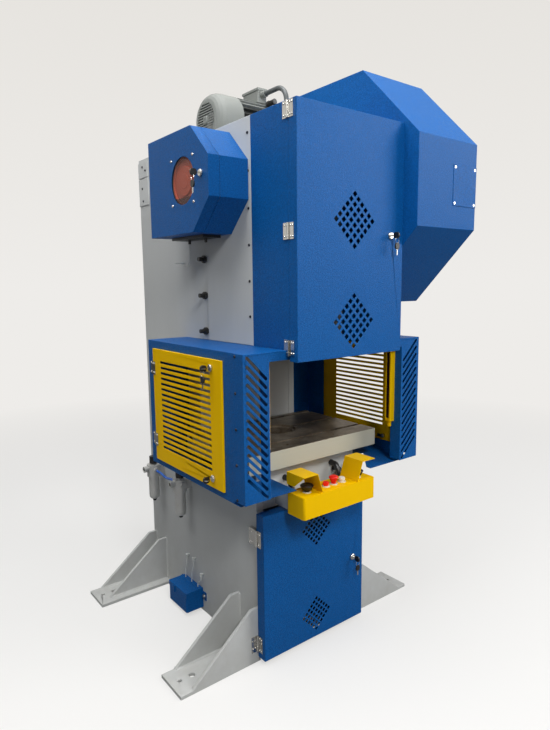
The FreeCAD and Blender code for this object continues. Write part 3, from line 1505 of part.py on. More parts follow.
write("side_plate_right", side_plate_right())
write("side_plate_left", mirrored(side_plate_right()))
write("cross_plates", *cross_plates())
write("feet", *feet())
write("bolster", bolster())
write("slide", slide())
write("slide_gibs", slide_gib(), mirrored(slide_gib()))
write("gib_screws", *gib_screws())
write("crankshaft", crankshaft())
write("connecting_rod", *connecting_rod())
write("main_bearings", *main_bearings())
write("cam_stack", *cam_stack())
write("flywheel", flywheel())
write("clutch", *clutch())
write("drive_belts", *drive_belts())
write("motor", *motor())
write("motor_rotor", motor_rotor())
write("motor_cable", motor_cable())
write("upper_housing", upper_housing())
write("upper_door", upper_door())
write("lower_door", lower_door())
write("flywheel_cover", *flywheel_cover())
write("cam_box", cam_box())
write("cam_box_lid", cam_box_lid())
write("cam_box_window", cam_box_window())
write("cam_switches", *cam_switches())
write("guard_right", fuse(guard_right() + [guard_shelf_right()]), guard_front_panel())
guard_left = fuse([mirrored(piece) for piece in guard_right()] + [guard_shelf_left()])
write("guard_left", guard_left.cut(hinge_notch()), mirrored(guard_front_panel()).cut(hinge_notch()))
write("guard_door_left", mirrored(guard_door(0)))
write("guard_door_right", guard_door(1))
write("light_curtains", light_curtain(), mirrored(light_curtain()))
write("console", *console())
write("console_brackets", *console_brackets())
write("console_conduits", *console_conduits())
write("button_bezels", *button_bezels())
write("palm_button_left", mushroom(-palm_place, palm_radius, palm_height, 2))
write("palm_button_right", mushroom(palm_place, palm_radius, palm_height, 2))
write("estop_button", mushroom(estop_place, estop_radius, estop_height, 0))
write("red_button", lamp_button(red_place))
write("white_button", lamp_button(white_place))
write("air_units", *[air_unit(depth) for depth in air_unit_depths])
write("air_knob_rear", air_knob(air_unit_depths[0]))
write("air_knob_front", air_knob(air_unit_depths[1]))
write("air_hose", air_hose())
write("oil_tank", oil_tank())
write("oil_tank_lid", oil_tank_lid())
write("oil_lines", *oil_lines())

upper = upper_hinges()
lower = lower_hinges()
cam = cam_hinges()
guard = guard_hinges()
fixed_leaves = [pair[0] for pair in upper + lower + cam + guard]
fixed_leaves += [mirrored(pair[0]) for pair in guard]
write("fixed_hinge_leaves", *fixed_leaves)
write("upper_door_fittings", lock_barrel(upper_lock, FRONT, upper_reach), *[pair[1] for pair in upper])
write("lower_door_fittings", lock_barrel(lower_lock, FRONT, lower_reach), *[pair[1] for pair in lower])
write("cam_lid_fittings", lock_barrel(cam_lock, LEFT, cam_reach), *[pair[1] for pair in cam])
guard_barrels = [lock_barrel(place, RIGHT, guard_reach) for place in guard_lock_places()]
guard_moving = [pair[1] for pair in guard] + guard_barrels
write("guard_fittings_left", *[mirrored(piece) for piece in guard_moving])
write("guard_fittings_right", *guard_moving)

write("upper_key", lock_key(upper_lock, FRONT, upper_reach, upper_tongue, UP))
write("lower_key", lock_key(lower_lock, FRONT, lower_reach, lower_tongue, UP))
write("cam_key", lock_key(cam_lock, LEFT, cam_reach, cam_tongue, UP))
BACK = V(0, 1, 0)
for name, place in zip(("top", "low"), guard_lock_places()):
    write("guard_key_right_" + name, lock_key(place, RIGHT, guard_reach, guard_tongue, BACK))
    write("guard_key_left_" + name, mirrored(lock_key(place, RIGHT, guard_reach, guard_tongue, BACK)))
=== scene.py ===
# %% [markdown]
# # A C-frame stamping press
# The press comes from CAD as separate nodes: plates, doors, guards, crank train, buttons and locks.
# Their shapes and places are right already, so this lesson is about finishes, small hardware and
# light.  Everything is in metres.  The origin is on the floor between the foundation bolts, with +Z
# up and -Y to the front.

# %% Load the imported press
import math

import bmesh
import bpy
from mathutils import Matrix, Vector


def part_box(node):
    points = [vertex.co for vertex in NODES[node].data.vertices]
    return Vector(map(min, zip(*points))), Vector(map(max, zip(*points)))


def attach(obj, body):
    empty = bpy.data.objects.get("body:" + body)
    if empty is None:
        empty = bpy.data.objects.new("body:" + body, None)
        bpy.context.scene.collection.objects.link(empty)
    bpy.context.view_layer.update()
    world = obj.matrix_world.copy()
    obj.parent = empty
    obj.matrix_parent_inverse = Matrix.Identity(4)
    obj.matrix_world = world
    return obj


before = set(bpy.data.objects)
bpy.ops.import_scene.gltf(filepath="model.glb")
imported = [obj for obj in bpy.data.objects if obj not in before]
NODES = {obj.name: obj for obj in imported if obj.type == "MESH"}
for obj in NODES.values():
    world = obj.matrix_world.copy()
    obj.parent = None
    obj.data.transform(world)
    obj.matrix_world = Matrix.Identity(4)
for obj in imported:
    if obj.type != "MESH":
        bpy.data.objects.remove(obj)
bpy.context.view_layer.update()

# %% [markdown]
# A drawing of this press measures depth from the front edge of the side plates.  A small helper
# turns such millimetres into the frame's metres, so that the places below read like a drawing.

# %% Places in drawing millimetres
PLATE_EDGE_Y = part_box("side_plate_left")[0][1]


def at(x, y, z):
    """A point given in millimetres, with y from the front edge of the side plates."""
    return Vector((x / 1000, y / 1000 + PLATE_EDGE_Y, z / 1000))


print("plate edge at y =", round(PLATE_EDGE_Y, 4))

# %% [markdown]
# ## Shader arithmetic
# A finish is mostly small sums: a speckle times a strength, one minus a mask, a colour mixed by that
# mask.  Written as nodes these are tedious, so one class wraps a socket and turns Python operators
# into Math nodes.  A second class holds one material and adds any other node, with its settings and
# inputs, in one call.

# %% A socket that does arithmetic


class Value:
    """A value inside a material that takes part in Python sums."""

    def __init__(self, finish, socket):
        self.finish = finish
        self.socket = socket

    def math(self, operation, *others):
        return self.finish.add("ShaderNodeMath", dict(enumerate((self,) + others)), operation=operation)

    def __add__(self, other):
        return self.math("ADD", other)

    def __sub__(self, other):
        return self.math("SUBTRACT", other)

    def __rsub__(self, other):
        return self.finish.add("ShaderNodeMath", {0: other, 1: self}, operation="SUBTRACT")

    def __mul__(self, other):
        return self.math("MULTIPLY", other)

    def __truediv__(self, other):
        return self.math("DIVIDE", other)

    def __gt__(self, other):
        return self.math("GREATER_THAN", other)

    def __lt__(self, other):
        return self.math("LESS_THAN", other)

    def __abs__(self):
        return self.math("ABSOLUTE")

    def clamp(self):
        return self.finish.add("ShaderNodeClamp", {"Value": self})


class Finish:
    """One material: its shader, and a method that adds any node."""

    def __init__(self, name, **constants):
        self.material = bpy.data.materials.new(name)
        self.material.use_nodes = True
        self.tree = self.material.node_tree
        self.shader = self.tree.nodes["Principled BSDF"]
        for socket, value in constants.items():
            self.shader.inputs[socket.replace("_", " ")].default_value = value

    def feed(self, socket, value):
        """Links a value to a socket, or gives the socket a constant."""
        if isinstance(value, Value):
            self.tree.links.new(value.socket, socket)
        elif isinstance(value, tuple) and len(value) == 3 and socket.type == "RGBA":
            socket.default_value = (*value, 1.0)
        else:
            socket.default_value = value

    def add(self, kind, inputs=None, output=0, stops=None, **settings):
        """A new node: settings first, then what its sockets take.  Returns one of its outputs."""
        node = self.tree.nodes.new(kind)
        for key, value in settings.items():
            setattr(node, key, value)
        if stops:
            ramp = node.color_ramp.elements
            while len(ramp) < len(stops):
                ramp.new(0.5)
            for element, (place, shade) in zip(ramp, stops):
                element.position = place
                element.color = (*shade, 1.0)
        for key, value in (inputs or {}).items():
            self.feed(node.inputs[key], value)
        return Value(self, node.outputs[output])

    def place(self):
        """The point on the object, in metres."""
        return self.add("ShaderNodeTexCoord", output="Object")

    def axes(self):
        """Its x, y and z, each as a value."""
        split = self.add("ShaderNodeSeparateXYZ", {"Vector": self.place()})
        return [Value(self, split.socket.node.outputs[axis]) for axis in range(3)]

    def stretched(self, x, y, z):
        """The point with each axis scaled, which draws a pattern out along the small ones."""
        return self.add("ShaderNodeVectorMath", {0: self.place(), 1: (x, y, z)}, operation="MULTIPLY")

    def noise(self, scale, detail=2.0, roughness=0.5, vector=None):
        return self.add("ShaderNodeTexNoise", {"Vector": vector or self.place(), "Scale": scale,
                                               "Detail": detail, "Roughness": roughness})

    def ramp(self, value, *stops):
        """A colour picked by a value, from (place, colour) stops."""
        return self.add("ShaderNodeValToRGB", {"Fac": value}, stops=stops)

    def mix(self, factor, first, second):
        """Two colours mixed by a factor."""
        return self.add("ShaderNodeMix", {0: factor, 6: first, 7: second}, output=2, data_type="RGBA")

    def bump(self, height, distance):
        """Lumps in the surface, as high as the distance where the height is 1."""
        self.set("Normal", self.add("ShaderNodeBump", {"Height": height, "Distance": distance}))

    def set(self, name, value):
        self.feed(self.shader.inputs[name], value)


def tint(red, green, blue):
    """A colour written as on a screen, 0 to 255, turned into light values."""
    return tuple(((c / 255 + 0.055) / 1.055) ** 2.4 if c > 10 else c / 255 / 12.92
                 for c in (red, green, blue))


def darker(colour, factor):
    """A colour with its light scaled, which makes it paler where the factor is over 1."""
    return tuple(c * factor for c in colour)


print("shader helpers ready")

# %% [markdown]
# ## Blue powder coat
# The doors, covers and guards are coated with a fine-texture blue powder.  The texture is a mat of
# tiny rounded lumps about two millimetres apart, which breaks up the reflection and makes the sheet
# look mottled from a few steps away.  Voronoi cells give lumps, and a noise keeps them from lining up.

# %% Textured powder coat
LUMPS_PER_METRE = 430.0
LUMP_HEIGHT = 0.0009
COAT_ROUGHNESS = 0.42
BLUE = tint(8, 84, 151)


def textured_coat(name, colour):
    """A speckled colour over a mat of small lumps."""
    coat = Finish(name, Specular_IOR_Level=0.14)
    wander = coat.noise(90.0, 3.0)
    lumps = coat.add("ShaderNodeTexVoronoi", {"Vector": coat.place(), "Scale": LUMPS_PER_METRE,
                                              "Randomness": 1.0}, feature="SMOOTH_F1")
    speckle = coat.noise(0.4 * LUMPS_PER_METRE, 3.0, 0.7)
    cloud = coat.noise(2.2, 3.0)
    shade = (speckle - 0.5) * 3.0 + (cloud - 0.5) * 0.3 + 0.5
    coat.set("Base Color", coat.mix(shade.clamp(), darker(colour, 0.72), darker(colour, 1.28)))
    coat.set("Roughness", (speckle - 0.5) * 0.4 + (wander - 0.5) * 0.2 + COAT_ROUGHNESS)
    coat.bump(lumps + speckle * 1.5, LUMP_HEIGHT)
    return coat.material


blue_coat = textured_coat("blue powder coat", BLUE)
print("blue coat from", [round(c, 3) for c in BLUE])

# %% [markdown]
# ## Light grey and yellow paint
# The welded frame is sprayed light grey.  Sprayed paint is smooth, with a faint orange peel and slow
# changes of gloss, and near the floor it gathers dust.  The guard doors and the console are a smooth
# signal yellow.  One function makes both.  Dust is an option, and so is a darkening mask: painted
# shade with soot among the motor's fins, and a darker bottom on the cam dial.

# %% Sprayed paint
GREY = tint(202, 204, 203)
YELLOW = tint(246, 195, 0)
MOTOR_GREY = tint(131, 134, 130)
DUST = tint(150, 145, 132)
DUST_HEIGHT = 0.5          # above the floor, where the last dust ends
DARKENED_SHARE = 0.16                # how much of the colour is left where the paint is darkened
COWL_EDGE_X = 0.012        # right edge of the motor's cowl
FINS_TOP_Z = 2.585         # top of the motor's fins


def sprayed_paint(name, colour, roughness, gloss=0.18, dust=0.0, darkening=None):
    """Smooth paint.  Dust is its share near the floor; the other mask, from x, y and z, darkens it."""
    paint = Finish(name, Specular_IOR_Level=gloss)
    peel = paint.noise(140.0, 2.0)
    cloud = paint.noise(1.7, 4.0, 0.6)
    streak = paint.noise(1.0, 4.0, 0.65, paint.stretched(9.0, 9.0, 0.9))
    shade = (cloud - 0.5) * 0.7 + (streak - 0.5) * 0.5 + 0.5
    base = paint.mix(shade.clamp(), darker(colour, 0.9), darker(colour, 1.07))
    if dust:
        height = paint.axes()[2]
        low = (1.0 - height / DUST_HEIGHT).clamp() * paint.noise(14.0, 5.0, 0.65) * dust
        base = paint.mix(low.clamp(), base, DUST)
    if darkening:
        # Darkening mask: painted shade with soot among the motor's fins, a darker bottom on the cam dial.
        base = paint.mix(darkening(*paint.axes()), base, darker(colour, DARKENED_SHARE))
    paint.set("Base Color", base)
    paint.set("Roughness", (streak - 0.5) * 0.18 + roughness)
    paint.bump(peel, 0.00012)
    return paint.material


def among_the_fins(x, y, z):
    """Right of the motor's cowl and below the top of its fins: painted shade among the fins, with oily dust.
    """
    return ((x - COWL_EDGE_X) * 400.0).clamp() * ((FINS_TOP_Z - z) * 60.0).clamp()


grey_paint = sprayed_paint("light grey paint", GREY, 0.42, dust=0.5)
yellow_paint = sprayed_paint("signal yellow paint", YELLOW, 0.36, gloss=0.06)
# The motor's fins are darkened: painted shade between the fins, with soot.
motor_paint = sprayed_paint("motor grey paint", MOTOR_GREY, 0.48, darkening=among_the_fins)
print("sprayed paints ready")

# %% [markdown]
# ## The table
# Its edges are painted, its top is ground and oiled.  The boundary is a matter of place, not of a
# separate piece: whatever lies on the outside faces is paint, and the rest is bare steel.  The steel
# has fine marks along the table and brown patches where old oil has dried.

# %% Painted and ground steel
TABLE_PAINT = tint(186, 184, 168)
OLD_OIL = tint(84, 74, 62)
WORN_STEEL = tint(134, 121, 104)
BRIGHT_STEEL = tint(176, 164, 148)


def painted_and_ground(name, node, edge=0.0006):
    """Paint within an edge's width of the node's sides and underside, ground steel elsewhere."""
    low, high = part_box(node)
    table = Finish(name)
    x, y, z = table.axes()
    outside = (abs(x) > high[0] - edge) + (y < low[1] + edge) + (y > high[1] - edge) + (z < low[2] + edge)
    painted = outside.clamp()
    marks = table.noise(1.0, 5.0, 0.7, table.stretched(6.0, 900.0, 900.0))
    stains = table.noise(7.0, 6.0, 0.62)
    drops = table.noise(45.0, 4.0, 0.6)
    tone = ((marks - 0.5) * 0.5 + (stains - 0.5) * 1.6 + (drops - 0.5) * 0.5 + 0.5).clamp()
    steel = table.ramp(tone, (0.15, OLD_OIL), (0.5, WORN_STEEL), (0.85, BRIGHT_STEEL))
    table.set("Base Color", table.mix(painted, steel, TABLE_PAINT))
    table.set("Metallic", (1.0 - painted) * 0.75)
    table.set("Roughness", painted * 0.12 + (tone - 0.5) * 0.2 + 0.36)
    table.bump(marks * (1.0 - painted) + stains * 0.3, 0.0001)
    return table.material


table_finish = painted_and_ground("ground table", "bolster")
print("table finish ready")

# %% [markdown]
# ## Bare metals
# Machined steel keeps the lay of the tool, so its marks are noise drawn out along one axis.  Plated
# hinges and locks are smooth with a faint ripple, cast pieces are grainy and matt.  The cam dial's
# primer is made here too, since it is darker below a set height.

# %% Metals
DIAL_STEP_Z = 2.066        # the cam dial is darker below this


def metal(name, colour, roughness, lay=(300.0, 300.0, 6.0), grain=0.00004, metallic=1.0, blotch=0.2):
    """Bare metal whose marks are long on the axis where lay is small."""
    bare = Finish(name, Metallic=metallic)
    marks = bare.noise(1.0, 4.0, 0.6, bare.stretched(*lay))
    patch = bare.noise(18.0, 4.0, 0.6)
    shade = ((marks - 0.5) * 0.6 + (patch - 0.5) * 1.2 + 0.5).clamp()
    bare.set("Base Color", bare.mix(shade, darker(colour, 1.0 - blotch), darker(colour, 1.0 + blotch * 0.5)))
    bare.set("Roughness", (marks - 0.5) * 0.2 + (patch - 0.5) * 0.15 + roughness)
    bare.bump(marks, grain)
    return bare.material


machined_steel = metal("machined steel", tint(176, 176, 174), 0.34)
turned_steel = metal("turned steel", tint(168, 168, 168), 0.3, lay=(900.0, 12.0, 12.0))
nickel_plate = metal("nickel plate", tint(205, 203, 198), 0.2, lay=(60.0, 60.0, 60.0), grain=0.00002)
bearing_bronze = metal("bearing bronze", tint(196, 158, 98), 0.32)
cast_alloy = metal("die-cast alloy", tint(208, 208, 205), 0.45, lay=(400.0, 400.0, 400.0), metallic=0.5)
grey_iron = metal("turned grey iron", tint(120, 120, 122), 0.45, lay=(700.0, 60.0, 60.0), grain=0.00008)
blackened_steel = metal("blackened steel", tint(60, 61, 66), 0.3, lay=(60.0, 60.0, 60.0), grain=0.00002)


def foot_of_the_dial(x, y, z):
    """The lowest part of the cam dial, below DIAL_STEP_Z, which is made darker."""
    return ((DIAL_STEP_Z - z) * 300.0).clamp()


# The cam dial's primer is darker towards the bottom.
red_primer = sprayed_paint("red-brown primer", tint(180, 78, 52), 0.5, dust=0.6, darkening=foot_of_the_dial)
print("metals ready")

# %% [markdown]
# ## Plastics and rubber
# Moulded plastic has a fine spark texture and a little wear, and rubber is duller, with a coarser
# texture.  Clear line and window pane are the same plastic with an alpha below 1, which is simpler
# than refracting glass and keeps what is behind them sharp.

# %% Plastics


def moulded(name, colour, roughness, texture=900.0, depth=0.00003, **constants):
    """Plastic or rubber with a fine moulded texture."""
    plastic = Finish(name, **constants)
    spark = plastic.noise(texture, 2.0)
    wear = plastic.noise(35.0, 5.0, 0.65)
    plastic.set("Base Color", plastic.mix(((wear - 0.5) * 1.4 + 0.4).clamp(), colour, darker(colour, 1.35)))
    plastic.set("Roughness", (wear - 0.5) * 0.25 + roughness)
    plastic.bump(spark, depth)
    return plastic.material


black_plastic = moulded("black moulded plastic", tint(22, 21, 20), 0.38)
red_plastic = moulded("red moulded plastic", tint(222, 30, 22), 0.3, Specular_IOR_Level=0.25)
white_lens = moulded("white lens", tint(226, 224, 214), 0.18)
belt_rubber = moulded("belt rubber", tint(34, 34, 34), 0.65, texture=500.0, depth=0.0001)
hose_plastic = moulded("blue hose", tint(30, 96, 190), 0.28)
clear_nylon = moulded("clear nylon line", tint(214, 217, 214), 0.22, Alpha=0.75)
window_pane = moulded("window pane", tint(150, 150, 146), 0.08, depth=0.00001, Alpha=0.08)
conduit_black = moulded("black conduit", tint(38, 37, 37), 0.34)
button_collar = moulded("beige button collar", tint(196, 188, 166), 0.4)
conduit_grey = moulded("grey conduit", tint(72, 76, 77), 0.42)
print("plastics ready")

# %% [markdown]
# ## Which node wears what
# The nodes could be modelled again here, but their CAD meshes are exact already.  So each keeps its
# mesh and takes a better material, and one call for each finish lists the nodes that wear it.

# %% Dress the CAD nodes


def dress(material, *names):
    """These nodes wear one material."""
    for name in names:
        mesh = NODES[name].data
        mesh.materials.clear()
        mesh.materials.append(material)


dress(grey_paint, "side_plate_left", "side_plate_right", "cross_plates", "feet", "console_brackets")
dress(blue_coat, "upper_housing", "upper_door", "lower_door", "flywheel_cover", "cam_box", "cam_box_lid",
      "guard_left", "guard_right", "oil_tank", "oil_tank_lid")
dress(yellow_paint, "guard_door_left", "guard_door_right", "console", "light_curtains")
dress(motor_paint, "motor")
dress(table_finish, "bolster")
dress(machined_steel, "slide", "slide_gibs", "connecting_rod", "clutch")
dress(turned_steel, "crankshaft", "motor_rotor")
dress(grey_iron, "flywheel")
dress(bearing_bronze, "main_bearings")
dress(red_primer, "cam_stack")
dress(belt_rubber, "drive_belts")
dress(nickel_plate, "fixed_hinge_leaves", "upper_door_fittings", "lower_door_fittings",
      "cam_lid_fittings", "guard_fittings_left", "guard_fittings_right")
dress(button_collar, "button_bezels")
dress(black_plastic, "palm_button_left", "palm_button_right", "air_knob_front", "air_knob_rear",
      "cam_switches", "gib_screws")
dress(red_plastic, "estop_button", "red_button")
dress(white_lens, "white_button")
dress(cast_alloy, "air_units")
dress(hose_plastic, "air_hose")
dress(clear_nylon, "oil_lines")
dress(conduit_black, "console_conduits")
dress(conduit_grey, "motor_cable")
dress(window_pane, "cam_box_window")
dress(nickel_plate, "upper_key", "lower_key", "cam_key", "guard_key_left_top", "guard_key_left_low",
      "guard_key_right_top", "guard_key_right_low")
print("nodes dressed")

# %% [markdown]
# ## Rounded edges
# Folded sheet and sawn plate have no knife edges: each edge is a small round that catches the light
# as a thin bright line.  The CAD meshes are loose triangles, so a Weld joins them first and a Bevel
# then rounds only the edges that really turn.

# %% Round the edges of sheet and plate
JOIN_WITHIN = 0.00002
TURNS_BY = math.radians(32)


def round_edges(width, *names):
    """Joins each node's triangles and rounds its real edges by a width."""
    for name in names:
        node = NODES[name]
        weld = node.modifiers.new("join triangles", "WELD")
        weld.merge_threshold = JOIN_WITHIN
        bevel = node.modifiers.new("round edges", "BEVEL")
        bevel.width = width
        bevel.segments = 2
        bevel.limit_method = "ANGLE"
        bevel.angle_limit = TURNS_BY
        bevel.harden_normals = True


round_edges(0.0018, "upper_housing", "upper_door", "lower_door", "cam_box", "cam_box_lid", "console",
            "guard_door_left", "guard_door_right")
round_edges(0.0015, "flywheel_cover", "guard_left", "guard_right")
round_edges(0.002, "side_plate_left", "side_plate_right", "cross_plates", "feet")
print("edges rounded")

# %% [markdown]
# ## Turned shapes
# Screw heads, hubs, caps and gauge faces are all turned: a list of radii and heights swept round an
# axis.  A pair may also carry a number of flats, so the same list can step from a round head into a
# hexagonal socket.

# %% A turned mesh


def as_mesh(name, work):
    """The mesh that was being worked on, which ends the work."""
    mesh = bpy.data.meshes.new(name)
    work.to_mesh(mesh)
    work.free()
    return mesh


def turned(name, profile, sides=36, loop=False):
    """A closed mesh from (radius, height) pairs in metres.  A third number gives that ring flats.
    With loop the profile closes on itself, as a ring's section does, instead of on the axis."""
    work = bmesh.new()
    rings = []
    for radius, height, *flats in profile:
        ring = []
        for k in range(sides):
            angle = 2 * math.pi * k / sides
            reach = radius
            if flats:
                half_flat = math.pi / flats[0]
                reach = radius / math.cos((angle + half_flat) % (2 * half_flat) - half_flat)
            ring.append(work.verts.new((reach * math.cos(angle), reach * math.sin(angle), height)))
        rings.append(ring)
    for low, high in zip(rings, (rings[1:] + rings[:1]) if loop else rings[1:]):
        for k in range(sides):
            after = (k + 1) % sides
            work.faces.new((low[k], low[after], high[after], high[k]))
    if not loop:
        work.faces.new(rings[0][::-1])
        work.faces.new(rings[-1])
    return as_mesh(name, work)


LEFT, RIGHT, FRONT, BACK, UP = (-1, 0, 0), (1, 0, 0), (0, -1, 0), (0, 1, 0), (0, 0, 1)


def facing_matrix(place, facing, up=UP):
    """Local z along facing, local y as near to up as it can be."""
    z = Vector(facing).normalized()
    x = Vector(up).cross(z).normalized()
    turn = Matrix((x, z.cross(x), z)).transposed()
    return Matrix.Translation(place) @ turn.to_4x4()


def piece(name, meshes, body, material, bevel=0.0):
    """One object at the origin from meshes already in place, riding on a body."""
    work = bmesh.new()
    for mesh in meshes:
        work.from_mesh(mesh)
    joined = as_mesh(name, work)
    joined.materials.append(material)
    made = bpy.data.objects.new(name, joined)
    bpy.context.collection.objects.link(made)
    if bevel:
        rounding = made.modifiers.new("round edges", "BEVEL")
        rounding.width = bevel
        rounding.segments = 2
        rounding.limit_method = "ANGLE"
    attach(made, body)


def moved(mesh, matrix):
    """The same mesh, carried to its place."""
    mesh.transform(matrix)
    return mesh


def turned_piece(name, profile, place, facing, body, material, sides=36, up=UP, loop=False):
    """A piece that is one turned mesh, standing on a place."""
    shape = moved(turned(name, profile, sides, loop), facing_matrix(place, facing, up))
    piece(name, [shape], body, material)


print("turned shapes ready")

# %% [markdown]
# ## Screws
# The press is held together by a few kinds of screw, each repeated many times.  One Geometry Nodes
# group places them: every point of a small mesh carries the direction that its screw faces, and the
# group adds a seeded random turn about that direction, because nobody lines sockets up.

# %% The group that places screws


def screw_group():
    """Points in, screws out: one head on each point, turned to face its way and spun by chance."""
    group = bpy.data.node_groups.new("place screws", "GeometryNodeTree")
    given_sockets = (("Geometry", "Geometry"), ("Head", "Object"), ("Finish", "Material"), ("Seed", "Int"))
    for label, kind in given_sockets:
        group.interface.new_socket(label, in_out="INPUT", socket_type="NodeSocket" + kind)
    group.interface.new_socket("Geometry", in_out="OUTPUT", socket_type="NodeSocketGeometry")
    nodes = group.nodes
    given = nodes.new("NodeGroupInput")
    result = nodes.new("NodeGroupOutput")
    head = nodes.new("GeometryNodeObjectInfo")
    facing = nodes.new("GeometryNodeInputNamedAttribute")
    facing.data_type = "FLOAT_VECTOR"
    facing.inputs["Name"].default_value = "facing"
    align = nodes.new("FunctionNodeAlignRotationToVector")
    align.axis = "Z"
    chance = nodes.new("FunctionNodeRandomValue")
    chance.data_type = "FLOAT"
    chance.inputs[3].default_value = 2 * math.pi          # its highest number
    spin = nodes.new("FunctionNodeAxisAngleToRotation")
    turn = nodes.new("FunctionNodeRotateRotation")
    turn.rotation_space = "LOCAL"
    instances = nodes.new("GeometryNodeInstanceOnPoints")
    realize = nodes.new("GeometryNodeRealizeInstances")
    finish = nodes.new("GeometryNodeSetMaterial")
    link = group.links.new
    link(given.outputs["Head"], head.inputs["Object"])
    link(facing.outputs["Attribute"], align.inputs["Vector"])
    link(given.outputs["Seed"], chance.inputs["Seed"])
    link(chance.outputs[1], spin.inputs["Angle"])
    link(align.outputs["Rotation"], turn.inputs["Rotation"])
    link(spin.outputs["Rotation"], turn.inputs["Rotate By"])
    link(given.outputs["Geometry"], instances.inputs["Points"])
    link(head.outputs["Geometry"], instances.inputs["Instance"])
    link(turn.outputs["Rotation"], instances.inputs["Rotation"])
    link(instances.outputs["Instances"], realize.inputs["Geometry"])
    link(realize.outputs["Geometry"], finish.inputs["Geometry"])
    link(given.outputs["Finish"], finish.inputs["Material"])
    link(finish.outputs["Geometry"], result.inputs["Geometry"])
    return group


SCREW_GROUP = screw_group()
HEADS = {
    "pan": [(0.0042, 0.0), (0.0042, 0.0006), (0.0036, 0.0016), (0.0024, 0.0022), (0.0014, 0.0022, 4),
            (0.0011, 0.0012, 4)],
    "button": [(0.0062, 0.0), (0.0062, 0.0008), (0.0056, 0.0026), (0.0040, 0.0038), (0.0022, 0.0038, 6),
               (0.0021, 0.0018, 6)],
    "countersunk": [(0.0060, -0.0010), (0.0060, 0.0001), (0.0057, 0.0003), (0.0022, 0.0003, 6),
                    (0.0022, -0.0008, 6)],
    "hexagon": [(0.0125, 0.0), (0.0125, 0.0022), (0.0092, 0.0022, 6), (0.0092, 0.0084, 6), (0.0082, 0.0094)],
}


def screws(name, body, head, material, places, seed):
    """One mesh of screws on a body, from (point, facing) pairs."""
    original = bpy.data.objects.new("screw head", turned("screw head", HEADS[head], 24))
    spots = bpy.data.meshes.new(name)
    spots.from_pydata([point for point, _ in places], [], [])
    directions = spots.attributes.new("facing", "FLOAT_VECTOR", "POINT")
    for item, (_, facing) in zip(directions.data, places):
        item.vector = facing
    carrier = bpy.data.objects.new(name, spots)
    for thing in (original, carrier):
        bpy.context.collection.objects.link(thing)
    maker = carrier.modifiers.new("screws", "NODES")
    maker.node_group = SCREW_GROUP
    sockets = {item.name: item.identifier for item in SCREW_GROUP.interface.items_tree
               if item.in_out == "INPUT"}
    maker[sockets["Head"]] = original
    maker[sockets["Finish"]] = material
    maker[sockets["Seed"]] = seed
    evaluated = carrier.evaluated_get(bpy.context.evaluated_depsgraph_get())
    made = bpy.data.meshes.new_from_object(evaluated)
    for thing in (original, carrier):
        bpy.data.objects.remove(thing)
    piece(name, [made], body, material)


print("screw group with", len(SCREW_GROUP.nodes), "nodes")

# %% Screws of the hinges
LEAF_COLUMNS = (0.0125, 0.0245)          # from the pin to each column of screws


def leaf_spots(middle, facing, away, reach=0.021):
    """Four screws on a hinge leaf that leads away from the pin, round a point level with its face."""
    return [(middle + Vector(away) * across + Vector((0, 0, rise)), facing)
            for across in LEAF_COLUMNS for rise in (-reach, reach)]


frame_pan, upper_pan, lower_pan, lid_pan, left_pan, right_pan = [], [], [], [], [], []
for height in (2336, 1898, 1453):
    frame_pan += leaf_spots(at(-302.5, -240, height), LEFT, BACK)
    upper_pan += leaf_spots(at(-302.5, -240, height), LEFT, FRONT)
for height in (592, 92):
    lower_pan += leaf_spots(at(-316.5, -22.3, height), LEFT, FRONT, 0.026)
frame_pan += leaf_spots(at(-318, 0, 592), LEFT, BACK, 0.026)
frame_pan += leaf_spots(at(-319.5, -19.5, 92), FRONT, LEFT, 0.017)
for height in (1314, 968):
    for side, facing, spots in ((-1, LEFT, left_pan), (1, RIGHT, right_pan)):
        frame_pan += leaf_spots(at(side * 514, 518, height), facing, BACK)
        spots += leaf_spots(at(side * 522.3, 518, height), facing, FRONT)
for height in (2250, 1998):
    frame_pan += leaf_spots(at(-437, 535.5, height), BACK, RIGHT)
    lid_pan += leaf_spots(at(-437, 535.5, height), BACK, LEFT)
for body, spots in (("frame", frame_pan), ("upper_door", upper_pan), ("lower_door", lower_pan),
                    ("cam_lid", lid_pan), ("guard_door_left", left_pan), ("guard_door_right", right_pan)):
    screws(body + "_pan_screws", body, "pan", nickel_plate, spots, seed=len(spots))
print("pan screws", sum(map(len, (frame_pan, upper_pan, lower_pan, lid_pan, left_pan, right_pan))))

# %% Button and hatch screws
FRAME_PITCH = 148.4        # down the front edge of the left side plate
GUARD_PITCH = 141.7        # down the front edge of each guard
REAR_SPOTS = ((998, 2328), (963, 2307), (1005, 2217), (999, 2151))

dark_button = [(at(-300, 20, 2306 - FRAME_PITCH * k), LEFT) for k in range(6)]
for side, facing in ((-1, LEFT), (1, RIGHT)):
    dark_button += [(at(side * 512.5, -173, 1431 - GUARD_PITCH * k), facing) for k in range(5)]
dark_button += [(at(-304, depth, height), LEFT) for depth, height in REAR_SPOTS]
screws("dark_button_screws", "frame", "button", blackened_steel, dark_button, seed=11)
hatch_spots = [(at(x, -368, 2128 + rise), FRONT) for x in (556, 704) for rise in (-78, 78)]
screws("hatch_screws", "frame", "countersunk", nickel_plate, hatch_spots, seed=7)
lid_button = [(at(-490, 225 + side, 2127 + rise), LEFT) for side in (-90, 90) for rise in (-92, 92)]
screws("cam_lid_button_screws", "cam_lid", "button", nickel_plate, lid_button, seed=9)
print("button and hatch screws", sum(map(len, (dark_button, hatch_spots, lid_button))))

# %% Hexagon screws
frame_hexagon = [(at(x, 610 + side * 88, 2402), UP) for x in (78, 256) for side in (-1, 1)]
frame_hexagon += [(at(-304, depth, 91), LEFT) for depth in (472, 698)]
screws("frame_hexagon_screws", "frame", "hexagon", machined_steel, frame_hexagon, seed=3)
print("hexagon screws", len(frame_hexagon))

